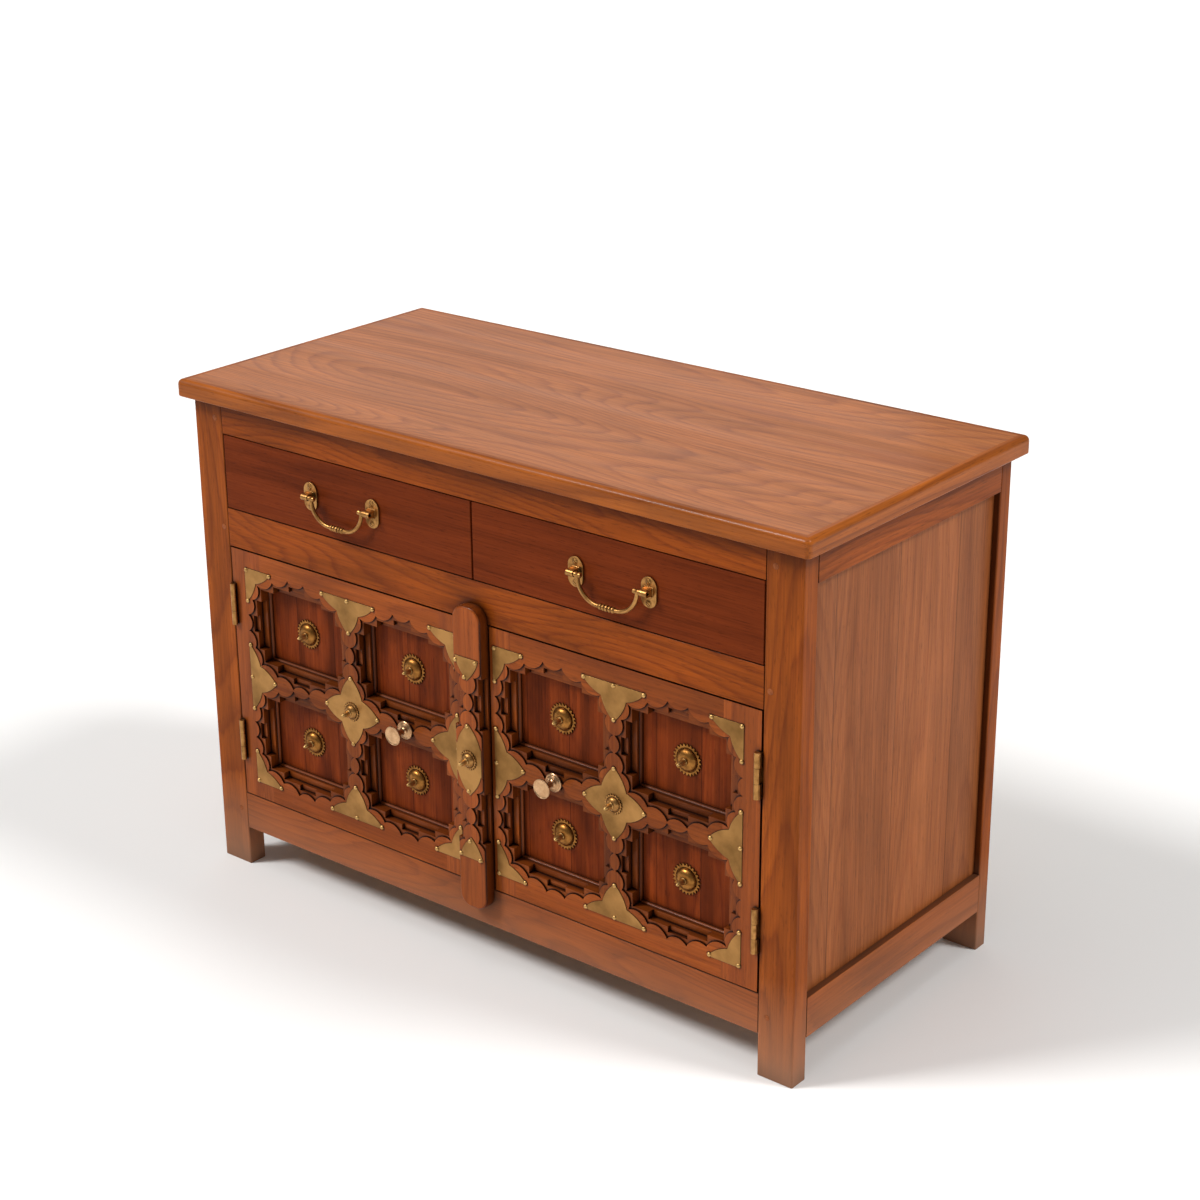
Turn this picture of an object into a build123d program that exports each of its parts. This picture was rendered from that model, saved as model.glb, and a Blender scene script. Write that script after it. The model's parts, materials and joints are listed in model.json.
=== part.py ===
from build123d import *

import os

# Carved hardwood sideboard: two drawers over a pair of doors, each door a stepped and
# scalloped lattice round four sunk panels, dressed with brass plates, spiked bosses,
# drop handles and knobs. All sizes are in millimetres. X is to the right seen from the
# front, Y runs back, Z is up, and the feet stand on Z = 0.

os.makedirs("parts", exist_ok=True)

# Carcass
CARCASS_WIDTH = 1046.0
CARCASS_DEPTH = 474.0
LEG_WIDTH = 55.0
FRONT_LEG_DEPTH = 30.0
BACK_LEG_DEPTH = 25.0
LEG_ROUNDING = 2.5
FOOT_HEIGHT = 61.0
BOTTOM_RAIL_HEIGHT = 57.5
DOOR_OPENING_HEIGHT = 393.0
MIDDLE_RAIL_HEIGHT = 57.0
DRAWER_OPENING_HEIGHT = 110.5
TOP_RAIL_HEIGHT = 46.0
FRONT_RAIL_THICKNESS = 25.0
SIDE_RAIL_THICKNESS = 22.0
BACK_RAIL_THICKNESS = 20.0

# Mortise and tenon joints of the carcass
TENON_LENGTH = 18.0
TENON_THICKNESS = 8.0
TENON_SHOULDER = 10.0

# Sunk panels of the sides and back, loose in their grooves
SIDE_PANEL_THICKNESS = 10.0
SIDE_PANEL_RECESS = 10.0
BACK_PANEL_THICKNESS = 8.0
BACK_PANEL_RECESS = 6.0
PANEL_GROOVE = 8.0
PANEL_PLAY = 0.5

# Inner boards
BOARD_THICKNESS = 12.0
FRONT_REBATE = 10.0
BACK_REBATE = 5.0
CLEAT_SIZE = 20.0

# Top
TOP_THICKNESS = 25.0
TOP_OVERHANG = 17.0
LIPPING_WIDTH = 12.5
TOP_CORNER_RADIUS = 8.0
TOP_EDGE_RADIUS = 8.0
TOP_UNDER_RADIUS = 2.5

# Drawers
DRAWER_FRONT_GAP = 1.5
DRAWER_FRONT_THICKNESS = 20.0
DRAWER_BACK_SPACE = 40.0
DRAWER_SIDE_INSET = 12.5
DRAWER_SIDE_THICKNESS = 12.0
DRAWER_SIDE_HEIGHT = 80.0
DRAWER_SIDE_LAP = 8.0
DRAWER_BACK_DROP = 5.0
DRAWER_BOTTOM_THICKNESS = 6.0
DRAWER_BOTTOM_GROOVE = 5.0
DRAWER_BOTTOM_RISE = 10.0
DRAWER_PLAY = 1.0
RUNNING_GAP = 0.3
GUIDE_WIDTH = 20.0
GUIDE_HEIGHT = 22.0

# Doors and their frame grooves
DOOR_THICKNESS = 30.0
DOOR_GAP = 2.0
DOOR_PANEL_THICKNESS = 6.0
DOOR_PANEL_DEPTH = 22.0
DOOR_GROOVE = 7.0
TONGUE_SHOULDER = 10.0

# Lattice carving: one cell holds one opening, and five arcs run along each of its sides
LATTICE_MARGIN = 28.0
LATTICE_MEETING_MARGIN = 7.5
LATTICE_END_MARGIN = 27.5
LATTICE_HALF_BAR = 22.0
SCALLOP_RISE = 21.2
SCALLOP_SAGITTA = 7.5
SCALLOP_DEPTH = 1.2
UPPER_STEP_DEPTH = 7.0
LOWER_STEP_DEPTH = 13.0
BEAD_DEPTH = 17.0
STEP_END_INSET = 6.0
STEP_SHOULDER_REACH = 4.0
STEP_MIDDLE_REACH = 12.0
BEAD_INSET = 9.0
BEAD_RADIUS = 4.5

# Cover strip over the meeting of the doors, fixed to the left door
STRIP_WIDTH = 49.0
STRIP_THICKNESS = 17.0
STRIP_TOP_LAP = 24.5
STRIP_BOTTOM_LAP = 29.0
STRIP_END_RADIUS = 20.0
STRIP_EDGE_RADIUS = 3.5
STRIP_RELIEF = 0.6

# Brass plates cut from one star shape
PLATE_THICKNESS = 0.8
STAR_REACH_X = 53.0
STAR_REACH_Z = 53.0
STAR_WAIST = 20.5
STAR_TIP_LENGTH = 5.0
STAR_TIP_HALF_WIDTH = 4.5
STAR_SIDE_SAGITTA = 2.2
STRIP_PLATE_INSET = 2.5

# Spiked bosses on the stars and toothed rosettes on the panels
BOSS_RADIUS = 13.0
BOSS_DOME_RADIUS = 9.5
BOSS_DOME_HEIGHT = 6.5
BOSS_LENGTH = 20.5
ROSETTE_RADIUS = 22.5
ROSETTE_TEETH = 24
ROSETTE_TOOTH_DEPTH = 3.0
ROSETTE_DOME_RADIUS = 16.0
ROSETTE_DOME_HEIGHT = 8.5
ROSETTE_LENGTH = 23.0
BOSS_RIM_THICKNESS = 1.6
DOME_SHOULDER_SHARES = (0.72, 0.78)
SPIKE_RADIUS = 3.8
SPIKE_TAPER_SHARES = (0.75, 0.55)

# Door knobs
KNOB_PLATE_RADIUS = 13.5
KNOB_PLATE_HEIGHT = 4.0
KNOB_STEM_RADIUS = 3.2
KNOB_DISC_RADIUS = 14.0
KNOB_DISC_THICKNESS = 4.0
KNOB_RIM_THICKNESS = 1.6
KNOB_LENGTH = 26.0

# Hinges
HINGE_LENGTH = 63.0
HINGE_KNUCKLES = 3
HINGE_BARREL_RADIUS = 4.0
HINGE_PIN_RADIUS = 1.5
HINGE_PIN_CLEARANCE = 0.08
HINGE_LEAF_WIDTH = 22.0
HINGE_LEAF_CLEARANCE = 0.2
HINGE_FACE_CLEARANCE = 0.3
HINGE_KNUCKLE_GAP = 0.4
UPPER_HINGE_DROP = 56.0
LOWER_HINGE_RISE = 59.0

# Drop handles
HANDLE_CENTRES = 117.0
HANDLE_SIDE_SHIFT = 2.0
HANDLE_HEIGHT_SHIFT = -1.0
ESCUTCHEON_WIDTH = 24.0
ESCUTCHEON_HEIGHT = 41.0
ESCUTCHEON_THICKNESS = 3.0
LUG_WIDTH = 12.0
LUG_ROOT_HEIGHT = 19.0
LUG_BARREL_RADIUS = 4.5
LUG_TOP_HOLLOW = 1.2
LUG_UNDERSIDE_HOLLOW = 2.0
PIVOT_STAND_OFF = 12.0
PIVOT_RISE = 1.5
BAIL_PIN_RADIUS = 2.0
BAIL_PIN_CLEARANCE = 0.08
BAIL_PIN_LENGTH = 8.0
BAIL_COLLAR_RADIUS = 3.4
BAIL_COLLAR_LENGTH = 9.0
BAIL_COLLAR_GAP = 0.4
BAIL_WIRE_RADIUS = 2.6
WIRE_SIDES = 8
BAIL_DROP = 34.0
BAIL_GRIP_HALF_LENGTH = 14.0
GRIP_RING_COUNT = 5
GRIP_RING_RADIUS = 4.2
GRIP_RING_WIDTH = 3.2
GRIP_RING_PITCH = 5.0

# Heights up the front
DOOR_SILL = FOOT_HEIGHT + BOTTOM_RAIL_HEIGHT
DOOR_HEAD = DOOR_SILL + DOOR_OPENING_HEIGHT
DRAWER_SILL = DOOR_HEAD + MIDDLE_RAIL_HEIGHT
DRAWER_HEAD = DRAWER_SILL + DRAWER_OPENING_HEIGHT
CARCASS_HEIGHT = DRAWER_HEAD + TOP_RAIL_HEIGHT

# Places across and back; depths are counted back from the front faces of the legs
HALF_WIDTH = CARCASS_WIDTH / 2
HALF_OPENING = HALF_WIDTH - LEG_WIDTH
BACK_LEG_FACE = CARCASS_DEPTH - BACK_LEG_DEPTH
SIDE_PANEL_INNER = HALF_WIDTH - SIDE_PANEL_RECESS - SIDE_PANEL_THICKNESS
SIDE_RAIL_INNER = HALF_WIDTH - SIDE_RAIL_THICKNESS
SIDE_TENON_CENTRE = HALF_WIDTH - SIDE_RAIL_THICKNESS / 2
FRONT_TENON_CENTRE = FRONT_RAIL_THICKNESS / 2
BACK_TENON_CENTRE = CARCASS_DEPTH - BACK_RAIL_THICKNESS / 2
BACK_PANEL_FACE = CARCASS_DEPTH - BACK_PANEL_RECESS - BACK_PANEL_THICKNESS
BACK_RAIL_FACE = CARCASS_DEPTH - BACK_RAIL_THICKNESS

# The foremost point is the spike on the cover strip and the rearmost is the top's back
# edge; the origin lies midway between them.
FORWARD_REACH = STRIP_THICKNESS + PLATE_THICKNESS + BOSS_LENGTH
FRONT_Y = (FORWARD_REACH - CARCASS_DEPTH - TOP_OVERHANG) / 2

# Lattice places
LATTICE_OUTER = HALF_OPENING - LATTICE_MARGIN
LATTICE_INNER = STRIP_WIDTH / 2 + LATTICE_MEETING_MARGIN
LATTICE_MIDDLE = (LATTICE_INNER + LATTICE_OUTER) / 2
CELL_WIDTH = LATTICE_OUTER - LATTICE_MIDDLE
LATTICE_HEIGHT = (DOOR_SILL + DOOR_HEAD) / 2
CELL_HEIGHT = DOOR_OPENING_HEIGHT / 2 - LATTICE_END_MARGIN
LATTICE_COLUMNS = (LATTICE_MIDDLE - CELL_WIDTH / 2, LATTICE_MIDDLE + CELL_WIDTH / 2)
LATTICE_ROWS = (LATTICE_HEIGHT - CELL_HEIGHT / 2, LATTICE_HEIGHT + CELL_HEIGHT / 2)
OPENING_WIDTH = CELL_WIDTH - 2 * LATTICE_HALF_BAR
OPENING_HEIGHT = CELL_HEIGHT - 2 * LATTICE_HALF_BAR
SIGHT_WIDTH = OPENING_WIDTH - 2 * BEAD_INSET
SIGHT_HEIGHT = OPENING_HEIGHT - 2 * BEAD_INSET
BAR_HALF_WIDTH = LATTICE_HALF_BAR + BEAD_INSET

DOOR_OUTER = HALF_OPENING - DOOR_GAP
DOOR_BOTTOM = DOOR_SILL + DOOR_GAP
DOOR_TOP = DOOR_HEAD - DOOR_GAP
STRIP_BOTTOM = DOOR_SILL - STRIP_BOTTOM_LAP
STRIP_TOP = DOOR_HEAD + STRIP_TOP_LAP

# Hinge pins stand just proud of the doors, and the leaves share the gap beside them
HINGE_LEAF_THICKNESS = (DOOR_GAP - HINGE_LEAF_CLEARANCE) / 2
HINGE_PIN_X = DOOR_OUTER + HINGE_LEAF_THICKNESS - HINGE_BARREL_RADIUS
HINGE_PIN_DEPTH = -(HINGE_BARREL_RADIUS + HINGE_FACE_CLEARANCE)
HINGE_HEIGHTS = (
    DOOR_SILL + LOWER_HINGE_RISE,
    DOOR_HEAD - UPPER_HINGE_DROP - HINGE_LENGTH,
)

DRAWER_FLOOR = DRAWER_SILL + RUNNING_GAP
DRAWER_LENGTH = BACK_PANEL_FACE - DRAWER_BACK_SPACE
HANDLE_X = HALF_OPENING / 2 + HANDLE_SIDE_SHIFT
HANDLE_Z = (DRAWER_SILL + DRAWER_HEAD) / 2 + HANDLE_HEIGHT_SHIFT
PIVOT_Z = HANDLE_Z + PIVOT_RISE


def front_plane(depth=0.0):
    """Plane facing forward, at a depth behind the front faces of the legs."""
    return Plane.XZ.offset(-(FRONT_Y + depth))


def span(side, low, high):
    """Limits along X of something that lies between two distances from the middle."""
    return (min(side * low, side * high), max(side * low, side * high))


def board(x_limits, depth_limits, z_limits, mode=Mode.ADD):
    """Squared timber between two limits along each axis."""
    centre = (
        sum(x_limits) / 2,
        FRONT_Y + sum(depth_limits) / 2,
        sum(z_limits) / 2,
    )
    with Locations(centre):
        Box(
            x_limits[1] - x_limits[0],
            depth_limits[1] - depth_limits[0],
            z_limits[1] - z_limits[0],
            mode=mode,
        )


def about(centre, width):
    """Limits of a width laid evenly about a centre."""
    return (centre - width / 2, centre + width / 2)


def save(piece, name):
    """Label a finished piece and write it to its own file."""
    piece.part.label = name
    export_step(piece.part, f"parts/{name}.step")


# Carcass joints: each rail's tenon and its leg's mortise come from the same block.

FRONT_RAILS = {
    "front_bottom_rail": (FOOT_HEIGHT, DOOR_SILL),
    "front_middle_rail": (DOOR_HEAD, DRAWER_SILL),
    "front_top_rail": (DRAWER_HEAD, CARCASS_HEIGHT),
}
SIDE_RAILS = {
    "bottom_rail": (FOOT_HEIGHT, DOOR_SILL),
    "top_rail": (DRAWER_HEAD, CARCASS_HEIGHT),
}


def tenon_heights(rail):
    """Limits of a rail's tenon inside the rail's own height."""
    return (rail[0] + TENON_SHOULDER, rail[1] - TENON_SHOULDER)


def cross_tenon(side, centre_depth, rail, mode=Mode.ADD):
    """Tenon along X, at one end of a front or back rail."""
    board(
        span(side, HALF_OPENING, HALF_OPENING + TENON_LENGTH),
        about(centre_depth, TENON_THICKNESS),
        tenon_heights(rail),
        mode,
    )


def side_tenon(side, depth_limits, rail, mode=Mode.ADD):
    """Tenon along Y, at one end of a side rail."""
    board(
        about(side * SIDE_TENON_CENTRE, TENON_THICKNESS),
        depth_limits,
        tenon_heights(rail),
        mode,
    )


def side_panel_block(side, play, mode=Mode.ADD):
    """Side panel with its edges let into the frame, less the play at each edge."""
    reach = PANEL_GROOVE - play
    board(
        span(side, SIDE_PANEL_INNER, SIDE_PANEL_INNER + SIDE_PANEL_THICKNESS),
        (FRONT_LEG_DEPTH - reach, BACK_LEG_FACE + reach),
        (DOOR_SILL - reach, DRAWER_HEAD + reach),
        mode,
    )


def back_panel_block(play, mode=Mode.ADD):
    """Back panel with its edges let into the frame, less the play at each edge."""
    reach = PANEL_GROOVE - play
    board(
        (-HALF_OPENING - reach, HALF_OPENING + reach),
        (BACK_PANEL_FACE, BACK_PANEL_FACE + BACK_PANEL_THICKNESS),
        (DOOR_SILL - reach, DRAWER_HEAD + reach),
        mode,
    )


def leg(side, front):
    """Square leg with eased long edges, mortises for its rails and panel grooves."""
    depths = (0, FRONT_LEG_DEPTH) if front else (BACK_LEG_FACE, CARCASS_DEPTH)
    with BuildPart() as piece:
        board(span(side, HALF_OPENING, HALF_WIDTH), depths, (0, CARCASS_HEIGHT))
        fillet(piece.edges().filter_by(Axis.Z), LEG_ROUNDING)
        if front:
            side_ends = (FRONT_LEG_DEPTH - TENON_LENGTH, FRONT_LEG_DEPTH)
            for rail in FRONT_RAILS.values():
                cross_tenon(side, FRONT_TENON_CENTRE, rail, Mode.SUBTRACT)
        else:
            side_ends = (BACK_LEG_FACE, BACK_LEG_FACE + TENON_LENGTH)
            for rail in SIDE_RAILS.values():
                cross_tenon(side, BACK_TENON_CENTRE, rail, Mode.SUBTRACT)
            back_panel_block(0, Mode.SUBTRACT)
        for rail in SIDE_RAILS.values():
            side_tenon(side, side_ends, rail, Mode.SUBTRACT)
        side_panel_block(side, 0, Mode.SUBTRACT)
    return piece


for leg_name, leg_side, leg_front in (
    ("front_left_leg", -1, True),
    ("front_right_leg", 1, True),
    ("back_left_leg", -1, False),
    ("back_right_leg", 1, False),
):
    save(leg(leg_side, leg_front), leg_name)


def floor_outline(top, half_width, mode=Mode.ADD):
    """Inner board that fills the carcass and reaches between the legs into rebates."""
    thickness = (top - BOARD_THICKNESS, top)
    front = FRONT_RAIL_THICKNESS - FRONT_REBATE
    back = BACK_RAIL_FACE + BACK_REBATE
    board((-half_width, half_width), (FRONT_LEG_DEPTH, BACK_LEG_FACE), thickness, mode)
    board((-HALF_OPENING, HALF_OPENING), (front, back), thickness, mode)


# Front rails, flush with the legs; the lower two carry the inner boards in a rebate.
for rail_name, rail_limits in FRONT_RAILS.items():
    with BuildPart() as front_rail:
        board(
            (-HALF_OPENING, HALF_OPENING), (0, FRONT_RAIL_THICKNESS), rail_limits
        )
        for end in (-1, 1):
            cross_tenon(end, FRONT_TENON_CENTRE, rail_limits)
        if rail_name != "front_top_rail":
            floor_outline(rail_limits[1], SIDE_RAIL_INNER, Mode.SUBTRACT)
    save(front_rail, rail_name)

# Back rails, flush with the back of the legs and grooved for the back panel.
for rail_name, rail_limits in SIDE_RAILS.items():
    with BuildPart() as back_rail:
        board(
            (-HALF_OPENING, HALF_OPENING), (BACK_RAIL_FACE, CARCASS_DEPTH), rail_limits
        )
        for end in (-1, 1):
            cross_tenon(end, BACK_TENON_CENTRE, rail_limits)
        back_panel_block(0, Mode.SUBTRACT)
        if rail_name == "bottom_rail":
            floor_outline(DOOR_SILL, SIDE_RAIL_INNER, Mode.SUBTRACT)
    save(back_rail, f"back_{rail_name}")

# Side rails and panels, the same on both sides.
for side_name, side_sign in (("left", -1), ("right", 1)):
    for rail_name, rail_limits in SIDE_RAILS.items():
        with BuildPart() as side_rail:
            board(
                span(side_sign, SIDE_RAIL_INNER, HALF_WIDTH),
                (FRONT_LEG_DEPTH, BACK_LEG_FACE),
                rail_limits,
            )
            for tenon_depths in (
                (FRONT_LEG_DEPTH - TENON_LENGTH, FRONT_LEG_DEPTH),
                (BACK_LEG_FACE, BACK_LEG_FACE + TENON_LENGTH),
            ):
                side_tenon(side_sign, tenon_depths, rail_limits)
            side_panel_block(side_sign, 0, Mode.SUBTRACT)
        save(side_rail, f"{side_name}_side_{rail_name}")
    with BuildPart() as side_panel:
        side_panel_block(side_sign, PANEL_PLAY)
    save(side_panel, f"{side_name}_side_panel")

with BuildPart() as back_panel:
    back_panel_block(PANEL_PLAY)
save(back_panel, "back_panel")

with BuildPart() as cupboard_floor:
    floor_outline(DOOR_SILL, SIDE_RAIL_INNER)
save(cupboard_floor, "cupboard_floor")

with BuildPart() as dust_board:
    floor_outline(DRAWER_SILL, SIDE_PANEL_INNER)
save(dust_board, "dust_board")

# Cleats on the side panels carry the ends of the dust board.
with BuildPart() as dust_board_cleats:
    for end in (-1, 1):
        board(
            span(end, SIDE_PANEL_INNER - CLEAT_SIZE, SIDE_PANEL_INNER),
            (FRONT_LEG_DEPTH, BACK_LEG_FACE),
            (DRAWER_SILL - BOARD_THICKNESS - CLEAT_SIZE, DRAWER_SILL - BOARD_THICKNESS),
        )
save(dust_board_cleats, "dust_board_cleats")

# Guides on the dust board: one between the drawers and one outside each of them.
DRAWER_BOX_OUTER = HALF_OPENING - DRAWER_SIDE_INSET
DRAWER_BOX_INNER = GUIDE_WIDTH / 2 + DRAWER_PLAY
with BuildPart() as drawer_guides:
    guide_face = DRAWER_BOX_OUTER + DRAWER_PLAY
    for guide_limits in (
        about(0, GUIDE_WIDTH),
        span(-1, guide_face, guide_face + GUIDE_WIDTH),
        span(1, guide_face, guide_face + GUIDE_WIDTH),
    ):
        board(
            guide_limits,
            (FRONT_LEG_DEPTH, BACK_LEG_FACE),
            (DRAWER_SILL, DRAWER_SILL + GUIDE_HEIGHT),
        )
save(drawer_guides, "drawer_guides")

# Top: a field board inside mitred lippings with a rounded upper edge.

TOP_HALF_WIDTH = HALF_WIDTH + TOP_OVERHANG
TOP_FRONT = -TOP_OVERHANG
TOP_BACK = CARCASS_DEPTH + TOP_OVERHANG
TOP_LEVELS = (CARCASS_HEIGHT, CARCASS_HEIGHT + TOP_THICKNESS)

with BuildPart() as top_panel:
    board(
        (-TOP_HALF_WIDTH + LIPPING_WIDTH, TOP_HALF_WIDTH - LIPPING_WIDTH),
        (TOP_FRONT + LIPPING_WIDTH, TOP_BACK - LIPPING_WIDTH),
        TOP_LEVELS,
    )
save(top_panel, "top_panel")


def lipping(corners_of_pieces):
    """Lengths of the rounded edge, each cut from the whole slab by its mitred outline."""
    with BuildPart() as piece:
        board(
            (-TOP_HALF_WIDTH, TOP_HALF_WIDTH), (TOP_FRONT, TOP_BACK), TOP_LEVELS
        )
        fillet(piece.edges().filter_by(Axis.Z), TOP_CORNER_RADIUS)
        fillet(piece.faces().sort_by(Axis.Z)[-1].edges(), TOP_EDGE_RADIUS)
        fillet(piece.faces().sort_by(Axis.Z)[0].edges(), TOP_UNDER_RADIUS)
        with BuildSketch(Plane.XY.offset(CARCASS_HEIGHT)):
            for corners in corners_of_pieces:
                with BuildLine():
                    Polyline(*corners, close=True)
                make_face()
        extrude(amount=TOP_THICKNESS, mode=Mode.INTERSECT)
    return piece


def mitred(outer_a, outer_b, inner_b, inner_a):
    """Outline of one length of lipping, from two outer and two inner corners."""
    return tuple((x, FRONT_Y + depth) for x, depth in (outer_a, outer_b, inner_b, inner_a))


INNER_X = TOP_HALF_WIDTH - LIPPING_WIDTH
INNER_FRONT = TOP_FRONT + LIPPING_WIDTH
INNER_BACK = TOP_BACK - LIPPING_WIDTH
save(
    lipping(
        [
            mitred(
                (-TOP_HALF_WIDTH, TOP_FRONT),
                (TOP_HALF_WIDTH, TOP_FRONT),
                (INNER_X, INNER_FRONT),
                (-INNER_X, INNER_FRONT),
            )
        ]
    ),
    "top_front_lipping",
)
save(
    lipping(
        [
            mitred(
                (-TOP_HALF_WIDTH, TOP_BACK),
                (TOP_HALF_WIDTH, TOP_BACK),
                (INNER_X, INNER_BACK),
                (-INNER_X, INNER_BACK),
            )
        ]
    ),
    "top_back_lipping",
)
save(
    lipping(
        [
            mitred(
                (end * TOP_HALF_WIDTH, TOP_FRONT),
                (end * TOP_HALF_WIDTH, TOP_BACK),
                (end * INNER_X, INNER_BACK),
                (end * INNER_X, INNER_FRONT),
            )
            for end in (-1, 1)
        ]
    ),
    "top_end_lippings",
)

# Drawers: boxes lapped into flush fronts, with a bottom in grooves.

SIDE_LEVELS = (DRAWER_FLOOR, DRAWER_FLOOR + DRAWER_SIDE_HEIGHT)
BOTTOM_LEVELS = (
    DRAWER_FLOOR + DRAWER_BOTTOM_RISE,
    DRAWER_FLOOR + DRAWER_BOTTOM_RISE + DRAWER_BOTTOM_THICKNESS,
)


def drawer_side_block(side, inner_face, mode=Mode.ADD):
    """One side of a drawer, lapped into the back of the front."""
    board(
        span(side, inner_face, inner_face + DRAWER_SIDE_THICKNESS),
        (DRAWER_FRONT_THICKNESS - DRAWER_SIDE_LAP, DRAWER_LENGTH),
        SIDE_LEVELS,
        mode,
    )


def drawer_bottom_block(side, mode=Mode.ADD):
    """Thin bottom let into the sides and the front, and running under the back."""
    board(
        span(
            side,
            DRAWER_BOX_INNER + DRAWER_SIDE_THICKNESS - DRAWER_BOTTOM_GROOVE,
            DRAWER_BOX_OUTER - DRAWER_SIDE_THICKNESS + DRAWER_BOTTOM_GROOVE,
        ),
        (DRAWER_FRONT_THICKNESS - DRAWER_BOTTOM_GROOVE, DRAWER_LENGTH),
        BOTTOM_LEVELS,
        mode,
    )


SIDE_INNER_FACES = (DRAWER_BOX_INNER, DRAWER_BOX_OUTER - DRAWER_SIDE_THICKNESS)

# Drop handle: two cast escutcheons with lugs, and a bail that swings in them.

PIVOT_DEPTH = -PIVOT_STAND_OFF
LUG_PLANE_REACH = HANDLE_CENTRES / 2


def escutcheons(handle_x):
    """Pair of oval plates, each with an arched lug that ends in a bored barrel."""
    with BuildPart() as pair:
        for post in (-1, 1):
            post_x = handle_x + post * LUG_PLANE_REACH
            with BuildSketch(front_plane()):
                with Locations((post_x, HANDLE_Z)):
                    SlotOverall(ESCUTCHEON_HEIGHT, ESCUTCHEON_WIDTH, rotation=90)
            extrude(amount=ESCUTCHEON_THICKNESS)
            # The lug: wide where it leaves the plate and drawn in to the barrel.
            lug_plane = Plane.YZ.offset(post_x - LUG_WIDTH / 2)
            with BuildSketch(lug_plane):
                with BuildLine():
                    top = (FRONT_Y + PIVOT_DEPTH, PIVOT_Z + LUG_BARREL_RADIUS)
                    bottom = (FRONT_Y + PIVOT_DEPTH, PIVOT_Z - LUG_BARREL_RADIUS)
                    root_top = (FRONT_Y, HANDLE_Z + LUG_ROOT_HEIGHT / 2)
                    root_bottom = (FRONT_Y, HANDLE_Z - LUG_ROOT_HEIGHT / 2)
                    SagittaArc(top, root_top, -LUG_TOP_HOLLOW)
                    Line(root_top, root_bottom)
                    SagittaArc(root_bottom, bottom, -LUG_UNDERSIDE_HOLLOW)
                    Line(bottom, top)
                make_face()
                with Locations((FRONT_Y + PIVOT_DEPTH, PIVOT_Z)):
                    Circle(LUG_BARREL_RADIUS)
            extrude(amount=LUG_WIDTH)
            with BuildSketch(lug_plane):
                with Locations((FRONT_Y + PIVOT_DEPTH, PIVOT_Z)):
                    Circle(BAIL_PIN_RADIUS + BAIL_PIN_CLEARANCE)
            extrude(amount=LUG_WIDTH, mode=Mode.SUBTRACT)
    return pair


COLLAR_OUTER = HANDLE_CENTRES / 2 - LUG_WIDTH / 2 - BAIL_COLLAR_GAP


def rod(left, height, radius, length):
    """Round length of a bail along X, in the plane of its pins."""
    with BuildSketch(Plane.YZ.offset(left)) as section:
        with Locations((FRONT_Y + PIVOT_DEPTH, height)):
            Circle(radius)
    extrude(section.sketch, amount=length)


def bail(handle_x):
    """Bail hanging in the lugs: pins and collars, quarter-round arms, ringed grip."""
    pivot_y = FRONT_Y + PIVOT_DEPTH
    grip_z = PIVOT_Z - BAIL_DROP
    with BuildPart() as piece:
        for arm in (-1, 1):
            bend = (handle_x + arm * BAIL_GRIP_HALF_LENGTH, pivot_y, PIVOT_Z)
            with BuildSketch(Plane(origin=bend, x_dir=(1, 0, 0), z_dir=(0, 0, 1))):
                with Locations((arm * BAIL_DROP, 0)):
                    RegularPolygon(
                        BAIL_WIRE_RADIUS, WIRE_SIDES, rotation=180 / WIRE_SIDES
                    )
            revolve(axis=Axis(bend, (0, arm, 0)), revolution_arc=90)
            for radius, inner, outer in (
                (BAIL_COLLAR_RADIUS, COLLAR_OUTER - BAIL_COLLAR_LENGTH, COLLAR_OUTER),
                (BAIL_PIN_RADIUS, COLLAR_OUTER, COLLAR_OUTER + BAIL_PIN_LENGTH),
            ):
                rod(handle_x + span(arm, inner, outer)[0], PIVOT_Z, radius, outer - inner)
        rod(
            handle_x - BAIL_GRIP_HALF_LENGTH,
            grip_z,
            BAIL_WIRE_RADIUS,
            2 * BAIL_GRIP_HALF_LENGTH,
        )
        for ring in range(GRIP_RING_COUNT):
            ring_x = handle_x + (ring - (GRIP_RING_COUNT - 1) / 2) * GRIP_RING_PITCH
            rod(ring_x - GRIP_RING_WIDTH / 2, grip_z, GRIP_RING_RADIUS, GRIP_RING_WIDTH)
    return piece


for drawer_name, side in (("left", -1), ("right", 1)):
    with BuildPart() as drawer_front:
        board(
            span(side, DRAWER_FRONT_GAP, HALF_OPENING - DRAWER_FRONT_GAP),
            (0, DRAWER_FRONT_THICKNESS),
            (DRAWER_SILL + DRAWER_FRONT_GAP, DRAWER_HEAD - DRAWER_FRONT_GAP),
        )
        for inner_face in SIDE_INNER_FACES:
            drawer_side_block(side, inner_face, Mode.SUBTRACT)
        drawer_bottom_block(side, Mode.SUBTRACT)
    save(drawer_front, f"{drawer_name}_drawer_front")

    with BuildPart() as drawer_sides:
        for inner_face in SIDE_INNER_FACES:
            drawer_side_block(side, inner_face)
        drawer_bottom_block(side, Mode.SUBTRACT)
    save(drawer_sides, f"{drawer_name}_drawer_sides")

    with BuildPart() as drawer_back:
        board(
            span(side, DRAWER_BOX_INNER + DRAWER_SIDE_THICKNESS, SIDE_INNER_FACES[1]),
            (DRAWER_LENGTH - DRAWER_SIDE_THICKNESS, DRAWER_LENGTH),
            (BOTTOM_LEVELS[1], SIDE_LEVELS[1] - DRAWER_BACK_DROP),
        )
    save(drawer_back, f"{drawer_name}_drawer_back")

    with BuildPart() as drawer_bottom:
        drawer_bottom_block(side)
    save(drawer_bottom, f"{drawer_name}_drawer_bottom")

    save(escutcheons(side * HANDLE_X), f"{drawer_name}_handle_escutcheons")
    save(bail(side * HANDLE_X), f"{drawer_name}_handle_bail")

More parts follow.
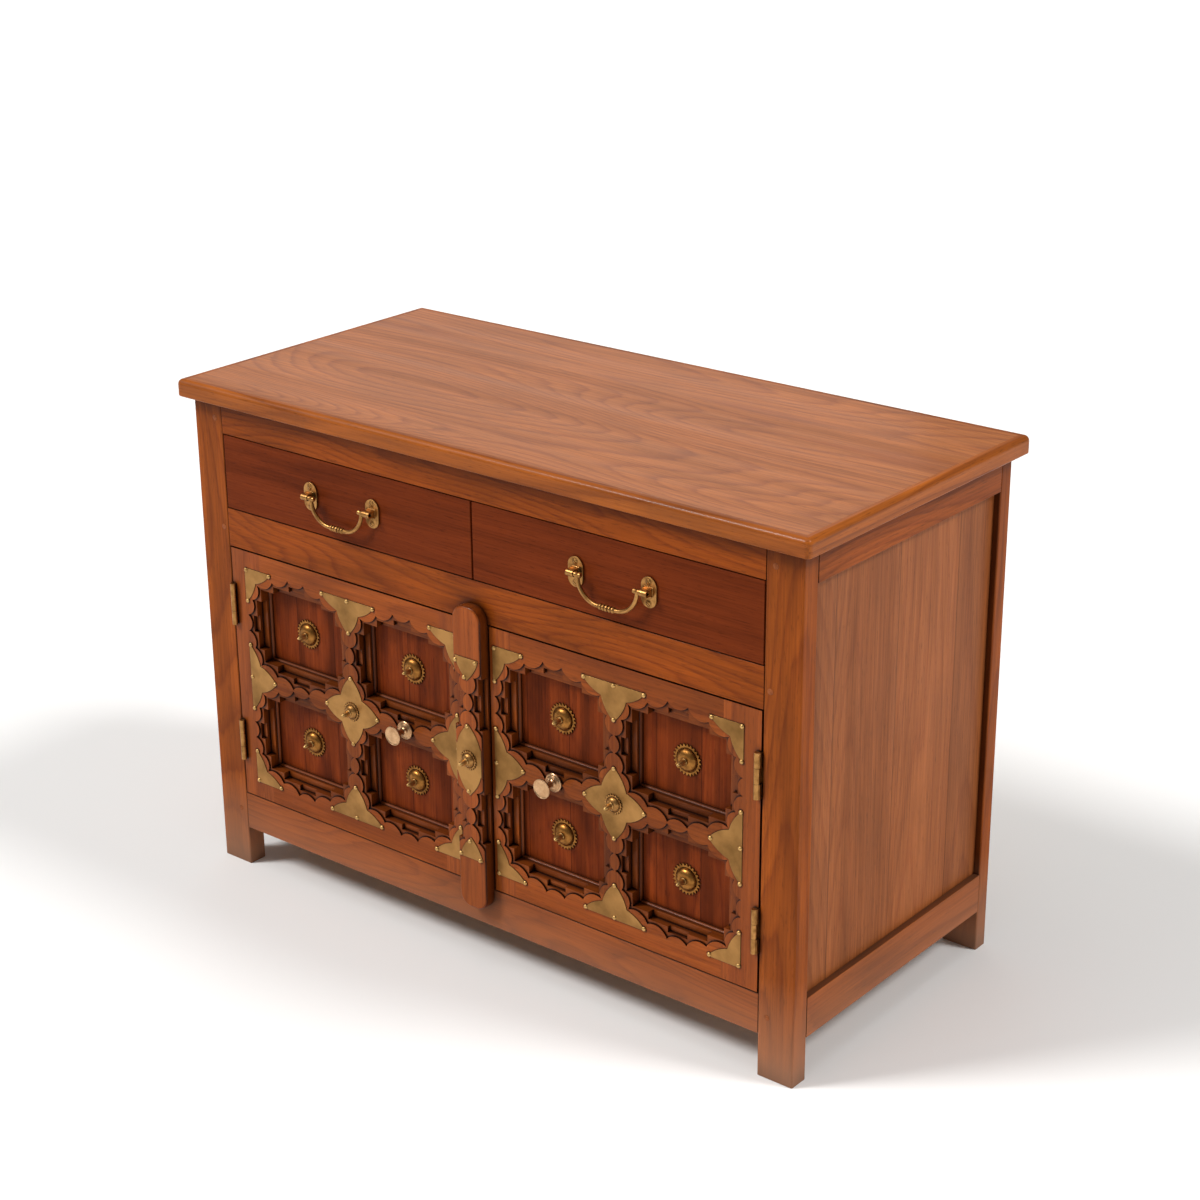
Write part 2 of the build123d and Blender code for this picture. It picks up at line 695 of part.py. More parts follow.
# Lattice carving. Each side of an opening is parted in five. The cusps between the arcs
# stand back by none, half, all, all, half of the rise, and below the scallops the wood
# steps down twice, each step with fewer and longer notches, to a bead round the panel.

SIDE_PARTS = 5
RISE_SHARES = (0.0, 0.5, 1.0, 1.0, 0.5)
ONE_PART = 1 / SIDE_PARTS
THREE_PARTS = 3 / SIDE_PARTS


def cusp_points():
    """Cusps of the scalloped outline, in order round one opening."""
    half_w = OPENING_WIDTH / 2
    half_h = OPENING_HEIGHT / 2
    bottom, right, top, left = [], [], [], []
    for part, share in enumerate(RISE_SHARES):
        along_x = -half_w + part * ONE_PART * OPENING_WIDTH
        along_z = -half_h + part * ONE_PART * OPENING_HEIGHT
        out = share * SCALLOP_RISE
        bottom.append((along_x, -half_h - out))
        right.append((half_w + out, along_z))
        top.append((-along_x, half_h + out))
        left.append((-half_w - out, -along_z))
    return bottom + right + top + left


def scalloped_opening():
    """Face inside the scallops of one opening."""
    cusps = cusp_points()
    with BuildSketch() as outline:
        with BuildLine():
            for start, end in zip(cusps, cusps[1:] + cusps[:1]):
                SagittaArc(start, end, SCALLOP_SAGITTA)
        make_face()
    return outline.sketch


def notched_opening(notches):
    """Face inside one stepped layer; notches are (share of the side, reach out)."""
    with BuildSketch() as outline:
        Rectangle(
            OPENING_WIDTH - 2 * STEP_END_INSET, OPENING_HEIGHT - 2 * STEP_END_INSET
        )
        for share, reach in notches:
            Rectangle(OPENING_WIDTH * share, OPENING_HEIGHT + 2 * reach)
            Rectangle(OPENING_WIDTH + 2 * reach, OPENING_HEIGHT * share)
    return outline.sketch


CARVED_LAYERS = (
    (scalloped_opening(), SCALLOP_DEPTH),
    (
        notched_opening(
            ((THREE_PARTS, STEP_SHOULDER_REACH), (ONE_PART, STEP_MIDDLE_REACH))
        ),
        UPPER_STEP_DEPTH,
    ),
    (notched_opening(((THREE_PARTS, STEP_SHOULDER_REACH),)), LOWER_STEP_DEPTH),
    (notched_opening(()), BEAD_DEPTH),
)


def mouth_outline(half_sight):
    """Section through a panel opening that swells forward over its rounded bead."""
    floor = FRONT_Y + BEAD_DEPTH
    crest = half_sight + BEAD_RADIUS
    with BuildLine() as outline:
        CenterArc((crest, floor + BEAD_RADIUS), BEAD_RADIUS, 180, 90)
        CenterArc((-crest, floor + BEAD_RADIUS), BEAD_RADIUS, 270, 90)
        Line((-crest, floor), (crest, floor))
        Polyline(
            (half_sight, floor + BEAD_RADIUS),
            (half_sight, FRONT_Y + DOOR_PANEL_DEPTH),
            (-half_sight, FRONT_Y + DOOR_PANEL_DEPTH),
            (-half_sight, floor + BEAD_RADIUS),
        )
    return outline.line


def opening_cutter():
    """Everything that one opening takes out of a door frame whose face is at the front."""
    upright = Plane(origin=(0, 0, 0), x_dir=(0, 0, 1), z_dir=(-1, 0, 0))
    with BuildPart() as mouth:
        with BuildSketch(Plane.XY) as width_section:
            with BuildLine():
                add(mouth_outline(SIGHT_WIDTH / 2))
            make_face()
        extrude(width_section.sketch, amount=CELL_HEIGHT, both=True)
        with BuildSketch(upright) as height_section:
            with BuildLine():
                add(mouth_outline(SIGHT_HEIGHT / 2))
            make_face()
        extrude(height_section.sketch, amount=CELL_WIDTH, both=True, mode=Mode.INTERSECT)
    with BuildPart() as cutter:
        for outline, depth in CARVED_LAYERS:
            with BuildSketch(front_plane()) as layer:
                add(outline)
            extrude(layer.sketch, amount=-depth)
        add(mouth.part)
    return cutter.part


CUTTER = opening_cutter()


def carve(columns, rows, face_depth):
    """Cut the openings at these columns and rows out of a member of a door frame."""
    with Locations(*[(x, face_depth, z) for x in columns for z in rows]):
        add(CUTTER, mode=Mode.SUBTRACT)


# Doors: stub tenons and grooves share one tongue thickness in the plane of the panels.

TONGUE_DEPTHS = (DOOR_PANEL_DEPTH, DOOR_PANEL_DEPTH + DOOR_PANEL_THICKNESS)
DOOR_DEPTHS = (0, DOOR_THICKNESS)
MEETING_EDGES = {1: STRIP_WIDTH / 2 + DOOR_GAP, -1: -STRIP_WIDTH / 2}
STILE_INNER = LATTICE_OUTER - BAR_HALF_WIDTH
MEETING_STILE_INNER = LATTICE_INNER + BAR_HALF_WIDTH
RAIL_LEVELS = {
    "bottom_rail": (DOOR_BOTTOM, LATTICE_HEIGHT - CELL_HEIGHT + BAR_HALF_WIDTH),
    "middle_rail": about(LATTICE_HEIGHT, 2 * BAR_HALF_WIDTH),
    "top_rail": (LATTICE_HEIGHT + CELL_HEIGHT - BAR_HALF_WIDTH, DOOR_TOP),
}
RAIL_ROWS = {
    "bottom_rail": LATTICE_ROWS[:1],
    "middle_rail": LATTICE_ROWS,
    "top_rail": LATTICE_ROWS[1:],
}
TONGUE_LEVELS = {
    "bottom_rail": (DOOR_BOTTOM + TONGUE_SHOULDER, RAIL_LEVELS["bottom_rail"][1]),
    "middle_rail": RAIL_LEVELS["middle_rail"],
    "top_rail": (RAIL_LEVELS["top_rail"][0], DOOR_TOP - TONGUE_SHOULDER),
}


def panel_blocks(side, play, mode=Mode.ADD):
    """The four panels of a door with their tongues, less the play at each edge."""
    with Locations(
        *[
            (side * x, FRONT_Y + sum(TONGUE_DEPTHS) / 2, z)
            for x in LATTICE_COLUMNS
            for z in LATTICE_ROWS
        ]
    ):
        Box(
            SIGHT_WIDTH + 2 * (DOOR_GROOVE - play),
            DOOR_PANEL_THICKNESS,
            SIGHT_HEIGHT + 2 * (DOOR_GROOVE - play),
            mode=mode,
        )


def rail_tongues(side, rail, mode=Mode.ADD):
    """Stub tenons of one door rail, which fill the grooves of both stiles."""
    low, high = TONGUE_LEVELS[rail]
    low += DOOR_GROOVE if rail != "bottom_rail" else 0
    high -= DOOR_GROOVE if rail != "top_rail" else 0
    for inner, outer in (
        (STILE_INNER, STILE_INNER + DOOR_GROOVE),
        (MEETING_STILE_INNER - DOOR_GROOVE, MEETING_STILE_INNER),
    ):
        board(span(side, inner, outer), TONGUE_DEPTHS, (low, high), mode)


def muntin_tongues(side, mode=Mode.ADD):
    """Stub tenons at both ends of the two muntins."""
    half_width = BAR_HALF_WIDTH - DOOR_GROOVE
    for row in LATTICE_ROWS:
        board(
            about(side * LATTICE_MIDDLE, 2 * half_width),
            TONGUE_DEPTHS,
            about(row, SIGHT_HEIGHT + 2 * DOOR_GROOVE),
            mode,
        )


def stile(side, inner, outer, column):
    """Upright of a door frame, carved with the lattice and cut for every tongue."""
    with BuildPart() as piece:
        board(span(side, inner, outer), DOOR_DEPTHS, (DOOR_BOTTOM, DOOR_TOP))
        carve([side * column], LATTICE_ROWS, 0)
        panel_blocks(side, 0, Mode.SUBTRACT)
        for rail in RAIL_LEVELS:
            rail_tongues(side, rail, Mode.SUBTRACT)
    return piece


# Turned and cast brass, drawn as a half profile about a boss's own axis.


def turned(places, depth, outline):
    """Turn one outline of edges about an axis at each place."""
    for x, z in places:
        axis_plane = Plane(
            origin=(x, FRONT_Y + depth, z), x_dir=(1, 0, 0), z_dir=(0, 0, 1)
        )
        with BuildSketch(axis_plane) as section:
            with BuildLine():
                add(outline)
            make_face()
        revolve(section.sketch, axis=Axis(axis_plane.origin, (0, -1, 0)))


def section_outline(*points):
    """Closed outline through points of (radius, height), in the plane of a section."""
    with BuildLine() as outline:
        Polyline(*[(radius, -height) for radius, height in points], close=True)
    return outline.line


def spiked_outline(dome_radius, dome_height, length):
    """Half section of a dome that stands on a rim and ends in a spike."""
    out, up = DOME_SHOULDER_SHARES
    taper_out, taper_up = SPIKE_TAPER_SHARES
    return section_outline(
        (0, 0),
        (dome_radius, 0),
        (dome_radius, BOSS_RIM_THICKNESS),
        (dome_radius * out, dome_height * up),
        (SPIKE_RADIUS, dome_height),
        (SPIKE_RADIUS * taper_out, dome_height + (length - dome_height) * taper_up),
        (0, length),
    )


def toothed_rim():
    """Flat rim of a rosette, cut all round into pointed teeth."""
    step = 180 / ROSETTE_TEETH
    root = ROSETTE_RADIUS - ROSETTE_TOOTH_DEPTH
    rim = [
        Vector(ROSETTE_RADIUS if tip % 2 == 0 else root, 0).rotate(Axis.Z, tip * step)
        for tip in range(2 * ROSETTE_TEETH)
    ]
    with BuildSketch() as sheet:
        with BuildLine():
            Polyline(*rim, close=True)
        make_face()
    return sheet.sketch


BOSS_OUTLINE = spiked_outline(BOSS_DOME_RADIUS, BOSS_DOME_HEIGHT, BOSS_LENGTH)
ROSETTE_OUTLINE = spiked_outline(
    ROSETTE_DOME_RADIUS, ROSETTE_DOME_HEIGHT, ROSETTE_LENGTH
)
TOOTHED_RIM = toothed_rim()

KNOB_UNDERSIDE = KNOB_LENGTH - KNOB_DISC_THICKNESS
KNOB_OUTLINE = section_outline(
    (0, 0),
    (KNOB_PLATE_RADIUS, 0),
    (KNOB_PLATE_RADIUS, KNOB_PLATE_HEIGHT / 2),
    (KNOB_STEM_RADIUS, KNOB_PLATE_HEIGHT),
    (KNOB_STEM_RADIUS, KNOB_UNDERSIDE),
    (KNOB_DISC_RADIUS, KNOB_LENGTH - KNOB_RIM_THICKNESS),
    (KNOB_DISC_RADIUS, KNOB_LENGTH),
    (0, KNOB_LENGTH),
)


def star_sheet():
    """Four-pointed star with full-bellied arms, from which every plate is cut."""
    side_tip = (STAR_REACH_X - STAR_TIP_LENGTH, STAR_TIP_HALF_WIDTH)
    upper_tip = (STAR_TIP_HALF_WIDTH, STAR_REACH_Z - STAR_TIP_LENGTH)
    waist = (STAR_WAIST, STAR_WAIST)
    with BuildSketch() as sheet:
        with BuildLine():
            Line((STAR_REACH_X, 0), side_tip)
            SagittaArc(side_tip, waist, -STAR_SIDE_SAGITTA)
            SagittaArc(waist, upper_tip, -STAR_SIDE_SAGITTA)
            Line(upper_tip, (0, STAR_REACH_Z))
            mirror(about=Plane.YZ)
            mirror(about=Plane.XZ)
        make_face()
    return sheet.sketch


STAR = star_sheet()
NODE_HEIGHTS = (
    LATTICE_HEIGHT - CELL_HEIGHT,
    LATTICE_HEIGHT,
    LATTICE_HEIGHT + CELL_HEIGHT,
)


def plates(columns, depth, window_centre, window_width, window_height):
    """Stars at every node of the lattice, trimmed to a window, as thin sheet."""
    with BuildSketch(front_plane(depth)) as sheet:
        with Locations(*[(x, z) for x in columns for z in NODE_HEIGHTS]):
            add(STAR)
        with Locations((window_centre, LATTICE_HEIGHT)):
            Rectangle(window_width, window_height, mode=Mode.INTERSECT)
    extrude(sheet.sketch, amount=PLATE_THICKNESS)


# Hinges: knuckles alternate on one pin, and the odd ones carry it on the frame's leaf.

KNUCKLE_PITCH = (HINGE_LENGTH + HINGE_KNUCKLE_GAP) / HINGE_KNUCKLES
FRAME_KNUCKLES = range(0, HINGE_KNUCKLES, 2)
DOOR_KNUCKLES = range(1, HINGE_KNUCKLES, 2)


def hinge_half(side, foot, knuckles, leaf_inner, leaf_outer):
    """One leaf of a hinge, with its knuckles curled forward round the pin's place."""
    pin_y = FRONT_Y + HINGE_PIN_DEPTH
    leaf_x = span(side, leaf_inner, leaf_outer)
    board(
        leaf_x,
        (HINGE_FACE_CLEARANCE, HINGE_LEAF_WIDTH),
        (foot, foot + HINGE_LENGTH),
    )
    for knuckle in knuckles:
        base = foot + knuckle * KNUCKLE_PITCH
        top = base + KNUCKLE_PITCH - HINGE_KNUCKLE_GAP
        board(leaf_x, (HINGE_PIN_DEPTH, HINGE_FACE_CLEARANCE), (base, top))
        board(
            span(side, HINGE_PIN_X + HINGE_BARREL_RADIUS / 2, leaf_outer),
            about(HINGE_PIN_DEPTH, 2 * HINGE_LEAF_THICKNESS),
            (base, top),
        )
        with BuildSketch(Plane.XY.offset(base)) as barrel:
            with Locations((side * HINGE_PIN_X, pin_y)):
                Circle(HINGE_BARREL_RADIUS)
        extrude(barrel.sketch, amount=top - base)


def hinge_bore(side, foot, radius, mode):
    """Pin, or the bore for it, through the whole length of a hinge."""
    with BuildSketch(Plane.XY.offset(foot)) as section:
        with Locations((side * HINGE_PIN_X, FRONT_Y + HINGE_PIN_DEPTH)):
            Circle(radius)
    extrude(section.sketch, amount=HINGE_LENGTH, mode=mode)


with BuildPart() as frame_hinge_leaves:
    for side in (-1, 1):
        for foot in HINGE_HEIGHTS:
            hinge_half(
                side,
                foot,
                FRAME_KNUCKLES,
                HALF_OPENING - HINGE_LEAF_THICKNESS,
                HALF_OPENING,
            )
            hinge_bore(side, foot, HINGE_PIN_RADIUS, Mode.ADD)
save(frame_hinge_leaves, "frame_hinge_leaves")

for door_name, side in (("left_door", -1), ("right_door", 1)):
    columns = [side * x for x in LATTICE_COLUMNS]

    save(
        stile(side, STILE_INNER, DOOR_OUTER, LATTICE_COLUMNS[1]),
        f"{door_name}_hinge_stile",
    )
    save(
        stile(side, MEETING_EDGES[side], MEETING_STILE_INNER, LATTICE_COLUMNS[0]),
        f"{door_name}_meeting_stile",
    )

    for rail, levels in RAIL_LEVELS.items():
        with BuildPart() as door_rail:
            board(span(side, MEETING_STILE_INNER, STILE_INNER), DOOR_DEPTHS, levels)
            carve(columns, RAIL_ROWS[rail], 0)
            rail_tongues(side, rail)
            panel_blocks(side, 0, Mode.SUBTRACT)
            muntin_tongues(side, Mode.SUBTRACT)
        save(door_rail, f"{door_name}_{rail}")

    with BuildPart() as door_muntins:
        for row in LATTICE_ROWS:
            board(
                about(side * LATTICE_MIDDLE, 2 * BAR_HALF_WIDTH),
                DOOR_DEPTHS,
                about(row, SIGHT_HEIGHT),
            )
        carve(columns, LATTICE_ROWS, 0)
        muntin_tongues(side)
        panel_blocks(side, 0, Mode.SUBTRACT)
    save(door_muntins, f"{door_name}_muntins")

    with BuildPart() as door_panels:
        panel_blocks(side, PANEL_PLAY)
    save(door_panels, f"{door_name}_panels")

    with BuildPart() as door_plates:
        plates(
            [side * x for x in (LATTICE_INNER, LATTICE_MIDDLE, LATTICE_OUTER)],
            0,
            side * LATTICE_MIDDLE,
            2 * CELL_WIDTH,
            2 * CELL_HEIGHT,
        )
        if side < 0:
            plates(
                (0,),
                -STRIP_THICKNESS,
                0,
                STRIP_WIDTH - 2 * STRIP_PLATE_INSET,
                2 * (CELL_HEIGHT - STAR_WAIST),
            )
    save(door_plates, f"{door_name}_plates")

    with BuildPart() as door_bosses:
        boss_places = [(side * LATTICE_MIDDLE, -PLATE_THICKNESS)]
        if side < 0:
            boss_places.append((0, -STRIP_THICKNESS - PLATE_THICKNESS))
        for boss_x, boss_depth in boss_places:
            turned([(boss_x, LATTICE_HEIGHT)], boss_depth, BOSS_OUTLINE)
            with BuildSketch(front_plane(boss_depth)) as boss_rim:
                with Locations((boss_x, LATTICE_HEIGHT)):
                    Circle(BOSS_RADIUS)
            extrude(boss_rim.sketch, amount=BOSS_RIM_THICKNESS)
        rosette_places = [(x, z) for x in columns for z in LATTICE_ROWS]
        turned(rosette_places, DOOR_PANEL_DEPTH, ROSETTE_OUTLINE)
        with BuildSketch(front_plane(DOOR_PANEL_DEPTH)) as rims:
            with Locations(*rosette_places):
                add(TOOTHED_RIM)
        extrude(rims.sketch, amount=BOSS_RIM_THICKNESS)
    save(door_bosses, f"{door_name}_bosses")

    with BuildPart() as door_knob:
        turned([(side * LATTICE_COLUMNS[0], LATTICE_HEIGHT)], 0, KNOB_OUTLINE)
    save(door_knob, f"{door_name}_knob")

    with BuildPart() as door_hinge_leaves:
        for foot in HINGE_HEIGHTS:
            hinge_half(
                side,
                foot,
                DOOR_KNUCKLES,
                DOOR_OUTER,
                DOOR_OUTER + HINGE_LEAF_THICKNESS,
            )
            hinge_bore(
                side,
                foot,
                HINGE_PIN_RADIUS + HINGE_PIN_CLEARANCE,
                Mode.SUBTRACT,
            )
    save(door_hinge_leaves, f"{door_name}_hinge_leaves")

# Cover strip: arched ends that lap the rails, carved between them like a muntin.
with BuildPart() as cover_strip:
    with BuildSketch(front_plane()):
        with Locations((0, (STRIP_BOTTOM + STRIP_TOP) / 2)):
            RectangleRounded(STRIP_WIDTH, STRIP_TOP - STRIP_BOTTOM, STRIP_END_RADIUS)
    extrude(amount=STRIP_THICKNESS)
    fillet(cover_strip.faces().sort_by(Axis.Y)[0].edges(), STRIP_EDGE_RADIUS)
    carve((-CELL_WIDTH / 2, CELL_WIDTH / 2), LATTICE_ROWS, -STRIP_THICKNESS)
    for relief in ((STRIP_BOTTOM, DOOR_BOTTOM), (DOOR_TOP, STRIP_TOP)):
        board(about(0, STRIP_WIDTH), (-STRIP_RELIEF, 0), relief, Mode.SUBTRACT)
save(cover_strip, "cover_strip")
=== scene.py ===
"""Looks of a carved sideboard with brass dressings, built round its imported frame.

Everything is in metres in the frame's own axes: X to the right seen from the front, Y
to the back and Z up. Sizes of small parts are given in millimetres and turned to metres
where they are used.
"""

import json
import logging
import math
from dataclasses import dataclass, field
from enum import Enum
from typing import Any, Iterable, Sequence

import bpy
from mathutils import Matrix, Vector

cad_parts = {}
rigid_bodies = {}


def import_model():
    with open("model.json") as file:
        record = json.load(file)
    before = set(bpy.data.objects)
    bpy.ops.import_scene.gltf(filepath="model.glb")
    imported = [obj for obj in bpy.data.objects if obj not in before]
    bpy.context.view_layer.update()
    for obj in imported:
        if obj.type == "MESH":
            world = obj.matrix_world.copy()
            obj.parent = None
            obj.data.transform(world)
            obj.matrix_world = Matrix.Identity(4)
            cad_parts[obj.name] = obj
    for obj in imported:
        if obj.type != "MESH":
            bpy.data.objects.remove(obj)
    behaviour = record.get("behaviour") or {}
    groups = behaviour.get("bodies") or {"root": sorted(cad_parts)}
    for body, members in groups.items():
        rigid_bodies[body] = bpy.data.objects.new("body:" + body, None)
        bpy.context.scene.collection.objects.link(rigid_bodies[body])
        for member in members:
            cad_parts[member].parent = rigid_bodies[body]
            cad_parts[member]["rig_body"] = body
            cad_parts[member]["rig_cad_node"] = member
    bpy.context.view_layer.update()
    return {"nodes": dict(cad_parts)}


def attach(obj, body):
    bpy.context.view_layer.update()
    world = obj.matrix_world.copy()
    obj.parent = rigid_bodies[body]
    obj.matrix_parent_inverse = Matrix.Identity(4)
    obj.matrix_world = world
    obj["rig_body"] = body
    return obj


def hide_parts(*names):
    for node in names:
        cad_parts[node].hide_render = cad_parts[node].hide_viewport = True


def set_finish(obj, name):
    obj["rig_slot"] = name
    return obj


LOG = logging.getLogger("sideboard")
MM = 0.001

# Planes that small pieces stand on, and the thickness of the brass plates, in metres.
FRONT_Y = -0.22635
STRIP_Y = -0.24335
PANEL_Y = -0.20435
PLATE = 0.0008

# Numbers that a mesh carries for its material: which board, and how dark a cut is
# painted, partly stain in the cut and partly painted shade.
BOARD = "board"
CUT_STAIN_AND_SHADE = "cut"
NEXT_BOARD = 0.37

# Ledge round the scallops: its depth, how near a face lies to count as part of it, and
# how much deeper it is sunk.
LEDGE_MM = 1.2
LEDGE_SLACK_MM = 0.15
LEDGE_SINK_MM = 1.0
CUT_SLACK_MM = 0.3

# How dark the cut faces of the carving are painted: on the scallops' walls and ledge
# partly stain in the cuts and partly painted shade, deeper in the recesses painted
# shade.
WALL_STAIN_AND_SHADE = 0.8
LEDGE_STAIN_AND_SHADE = 0.28
DEEP_WALL_SHADE = 0.42
DEEP_FACE_SHADE = 0.18

# Edges sharper than the first angle are eased. Shading runs smoothly over edges below
# the second on eased pieces and below the third on turned ones. Triangles that differ
# by less than the last are parts of one flat face.
ARRIS_ANGLE = math.radians(35)
EASED_ANGLE = math.radians(38)
TURNED_ANGLE = math.radians(42)
FLAT_ANGLE = math.radians(0.5)

# Points nearer to each other than this are one, and a tip's radius before it closes.
MERGE_GAP = 0.00002
TIP_MM = 0.001

# How far a board's or a plank's number moves the figure, in metres for each unit.
BOARD_SHIFT = (7.31, 3.17, 5.93)
PLANK_SHIFT = (1.37, 0.71, 0.53)

# A glue line shows about a millimetre wide.
GLUE_LINE_MM = 1.0

# Colours painted into hollows and near the floor, and where. Hollows and carved corners
# are darkened as painted shade, in carved corners partly for stain in the cuts and on
# metal partly for tarnish: within reach of a carved corner, from the openness of the
# darkest corners to that of clean wood; on metal the spots go as far as full tarnish.
# The lowest wood is lightened as painted light thrown up by the floor, from the first
# height, in metres, up to the second.
CORNER_SHADE_REACH_MM = 2.8
CORNER_SHADE_FROM = 0.7
FULLY_OPEN = 0.98
SETTLED_STAIN_AND_SHADE = "200903"
TARNISH_AND_SHADE = "3a2410"
FULL_TARNISH = 0.7
PAINTED_FLOOR_LIGHT = "b08468"
FLOOR_LIGHT_HEIGHTS = (0.02, 0.15)

# Settings of the nodes that mix two colours.
BLENDED = {"data_type": "RGBA"}
MULTIPLIED = {"data_type": "RGBA", "blend_type": "MULTIPLY"}

Piece = bpy.types.Object
Place = tuple[float, float, float]
Profile = Sequence[tuple[float, float]]


# ---------------------------------------------------------------- finishes


def linear(code: str) -> tuple[float, float, float, float]:
    """Turn an sRGB hex colour into the linear colour that shaders take.

    Args:
        code: Colour such as "8a4a24".

    Returns:
        Linear red, green, blue and an alpha of one.
    """
    parts = [int(code[i : i + 2], 16) / 255 for i in (0, 2, 4)]
    red, green, blue = (
        p / 12.92 if p <= 0.04045 else ((p + 0.055) / 1.055) ** 2.4 for p in parts
    )
    return (red, green, blue, 1.0)


def add_node(
    tree: bpy.types.NodeTree,
    kind: str,
    settings: dict[str, Any] | None = None,
    inputs: dict[str | int, Any] | None = None,
) -> bpy.types.Node:
    """Add a node with its settings, and with its inputs linked or set.

    Args:
        tree: Node tree that gets the node.
        kind: Blender's name for the type of node.
        settings: Properties of the node; "stops" fills a colour ramp.
        inputs: Sockets by name or number, each with a value or a socket to link from.

    Returns:
        The new node.
    """
    node = tree.nodes.new(kind)
    for name, value in (settings or {}).items():
        if name == "stops":
            elements = node.color_ramp.elements
            while len(elements) < len(value):
                elements.new(1.0)
            for element, (position, colour) in zip(elements, value):
                element.position = position
                element.color = colour
        else:
            setattr(node, name, value)
    for name, value in (inputs or {}).items():
        if isinstance(value, bpy.types.NodeSocket):
            tree.links.new(value, node.inputs[name])
        else:
            node.inputs[name].default_value = value
    return node


def grey(value: float) -> tuple[float, float, float, float]:
    """Opaque grey of one value, for the stops of a ramp that drives a number."""
    return (value, value, value, 1.0)


def fresh_material(name: str) -> tuple[bpy.types.Material, bpy.types.NodeTree]:
    """Make an empty node material.

    Args:
        name: Name of the material.

    Returns:
        The material and its tree.
    """
    material = bpy.data.materials.new(name)
    material.use_nodes = True
    material.node_tree.nodes.clear()
    return material, material.node_tree


class Grain(Enum):
    """Way a board's grain runs, as the turn that brings it onto X."""

    ALONG_X = (0.0, 0.0, 0.0)
    ALONG_Y = (0.0, 0.0, -math.pi / 2)
    ALONG_Z = (0.0, math.pi / 2, 0.0)


class Across(Enum):
    """Turned axis that runs across the planks of a glued panel."""

    SECOND = "Y"
    THIRD = "Z"


@dataclass(frozen=True)
class Marks:
    """One kind of mark in wood, longer along the grain than across it.

    Attributes:
        along_mm: Length of a mark.
        across_mm: Width of a mark.
        detail: Octaves of finer noise within a mark.
        noise: Noise at which its tint starts and ends.
        tint: What the colour is multiplied by at these two.
    """

    along_mm: float
    across_mm: float
    detail: float
    noise: tuple[float, float] = (0.0, 1.0)
    tint: tuple[float, float] = (0.0, 1.0)

    def spread(
        self, tree: bpy.types.NodeTree, aligned: bpy.types.NodeSocket
    ) -> bpy.types.NodeSocket:
        """Noise with patches of the marks' size.

        Args:
            tree: Tree of the material.
            aligned: Coordinates in metres with the grain on X.

        Returns:
            Number socket from 0 to 1.
        """
        along = 1 / (self.along_mm * MM)
        across = 1 / (self.across_mm * MM)
        fitted = add_node(
            tree,
            "ShaderNodeMapping",
            inputs={"Vector": aligned, "Scale": (along, across, across)},
        )
        return add_node(
            tree,
            "ShaderNodeTexNoise",
            inputs={
                "Vector": fitted.outputs["Vector"],
                "Scale": 1.0,
                "Detail": self.detail,
                "Roughness": 0.5,
            },
        ).outputs["Fac"]

    def tone(
        self, tree: bpy.types.NodeTree, aligned: bpy.types.NodeSocket
    ) -> bpy.types.NodeSocket:
        """What the marks multiply the wood's colour by.

        Args:
            tree: Tree of the material.
            aligned: Coordinates in metres with the grain on X.

        Returns:
            Number socket.
        """
        return add_node(
            tree,
            "ShaderNodeMapRange",
            inputs={
                0: self.spread(tree, aligned),
                1: self.noise[0],
                2: self.noise[1],
                3: self.tint[0],
                4: self.tint[1],
            },
        ).outputs[0]


# Waver of the growth rings, and broad darker bands that run the length of a board.
WAVER = Marks(160.0, 9.0, 2.0)
BANDS = Marks(1500.0, 34.0, 3.0)
# Fibres are really finer than a millimetre and are drawn about 2.5 mm wide.
FIBRES = Marks(110.0, 2.6, 3.0, (0.3, 0.7), (0.80, 1.16))
# Open pores are short dark dashes.
PORES = Marks(16.0, 1.3, 1.0, (0.62, 0.74), (1.0, 0.68))


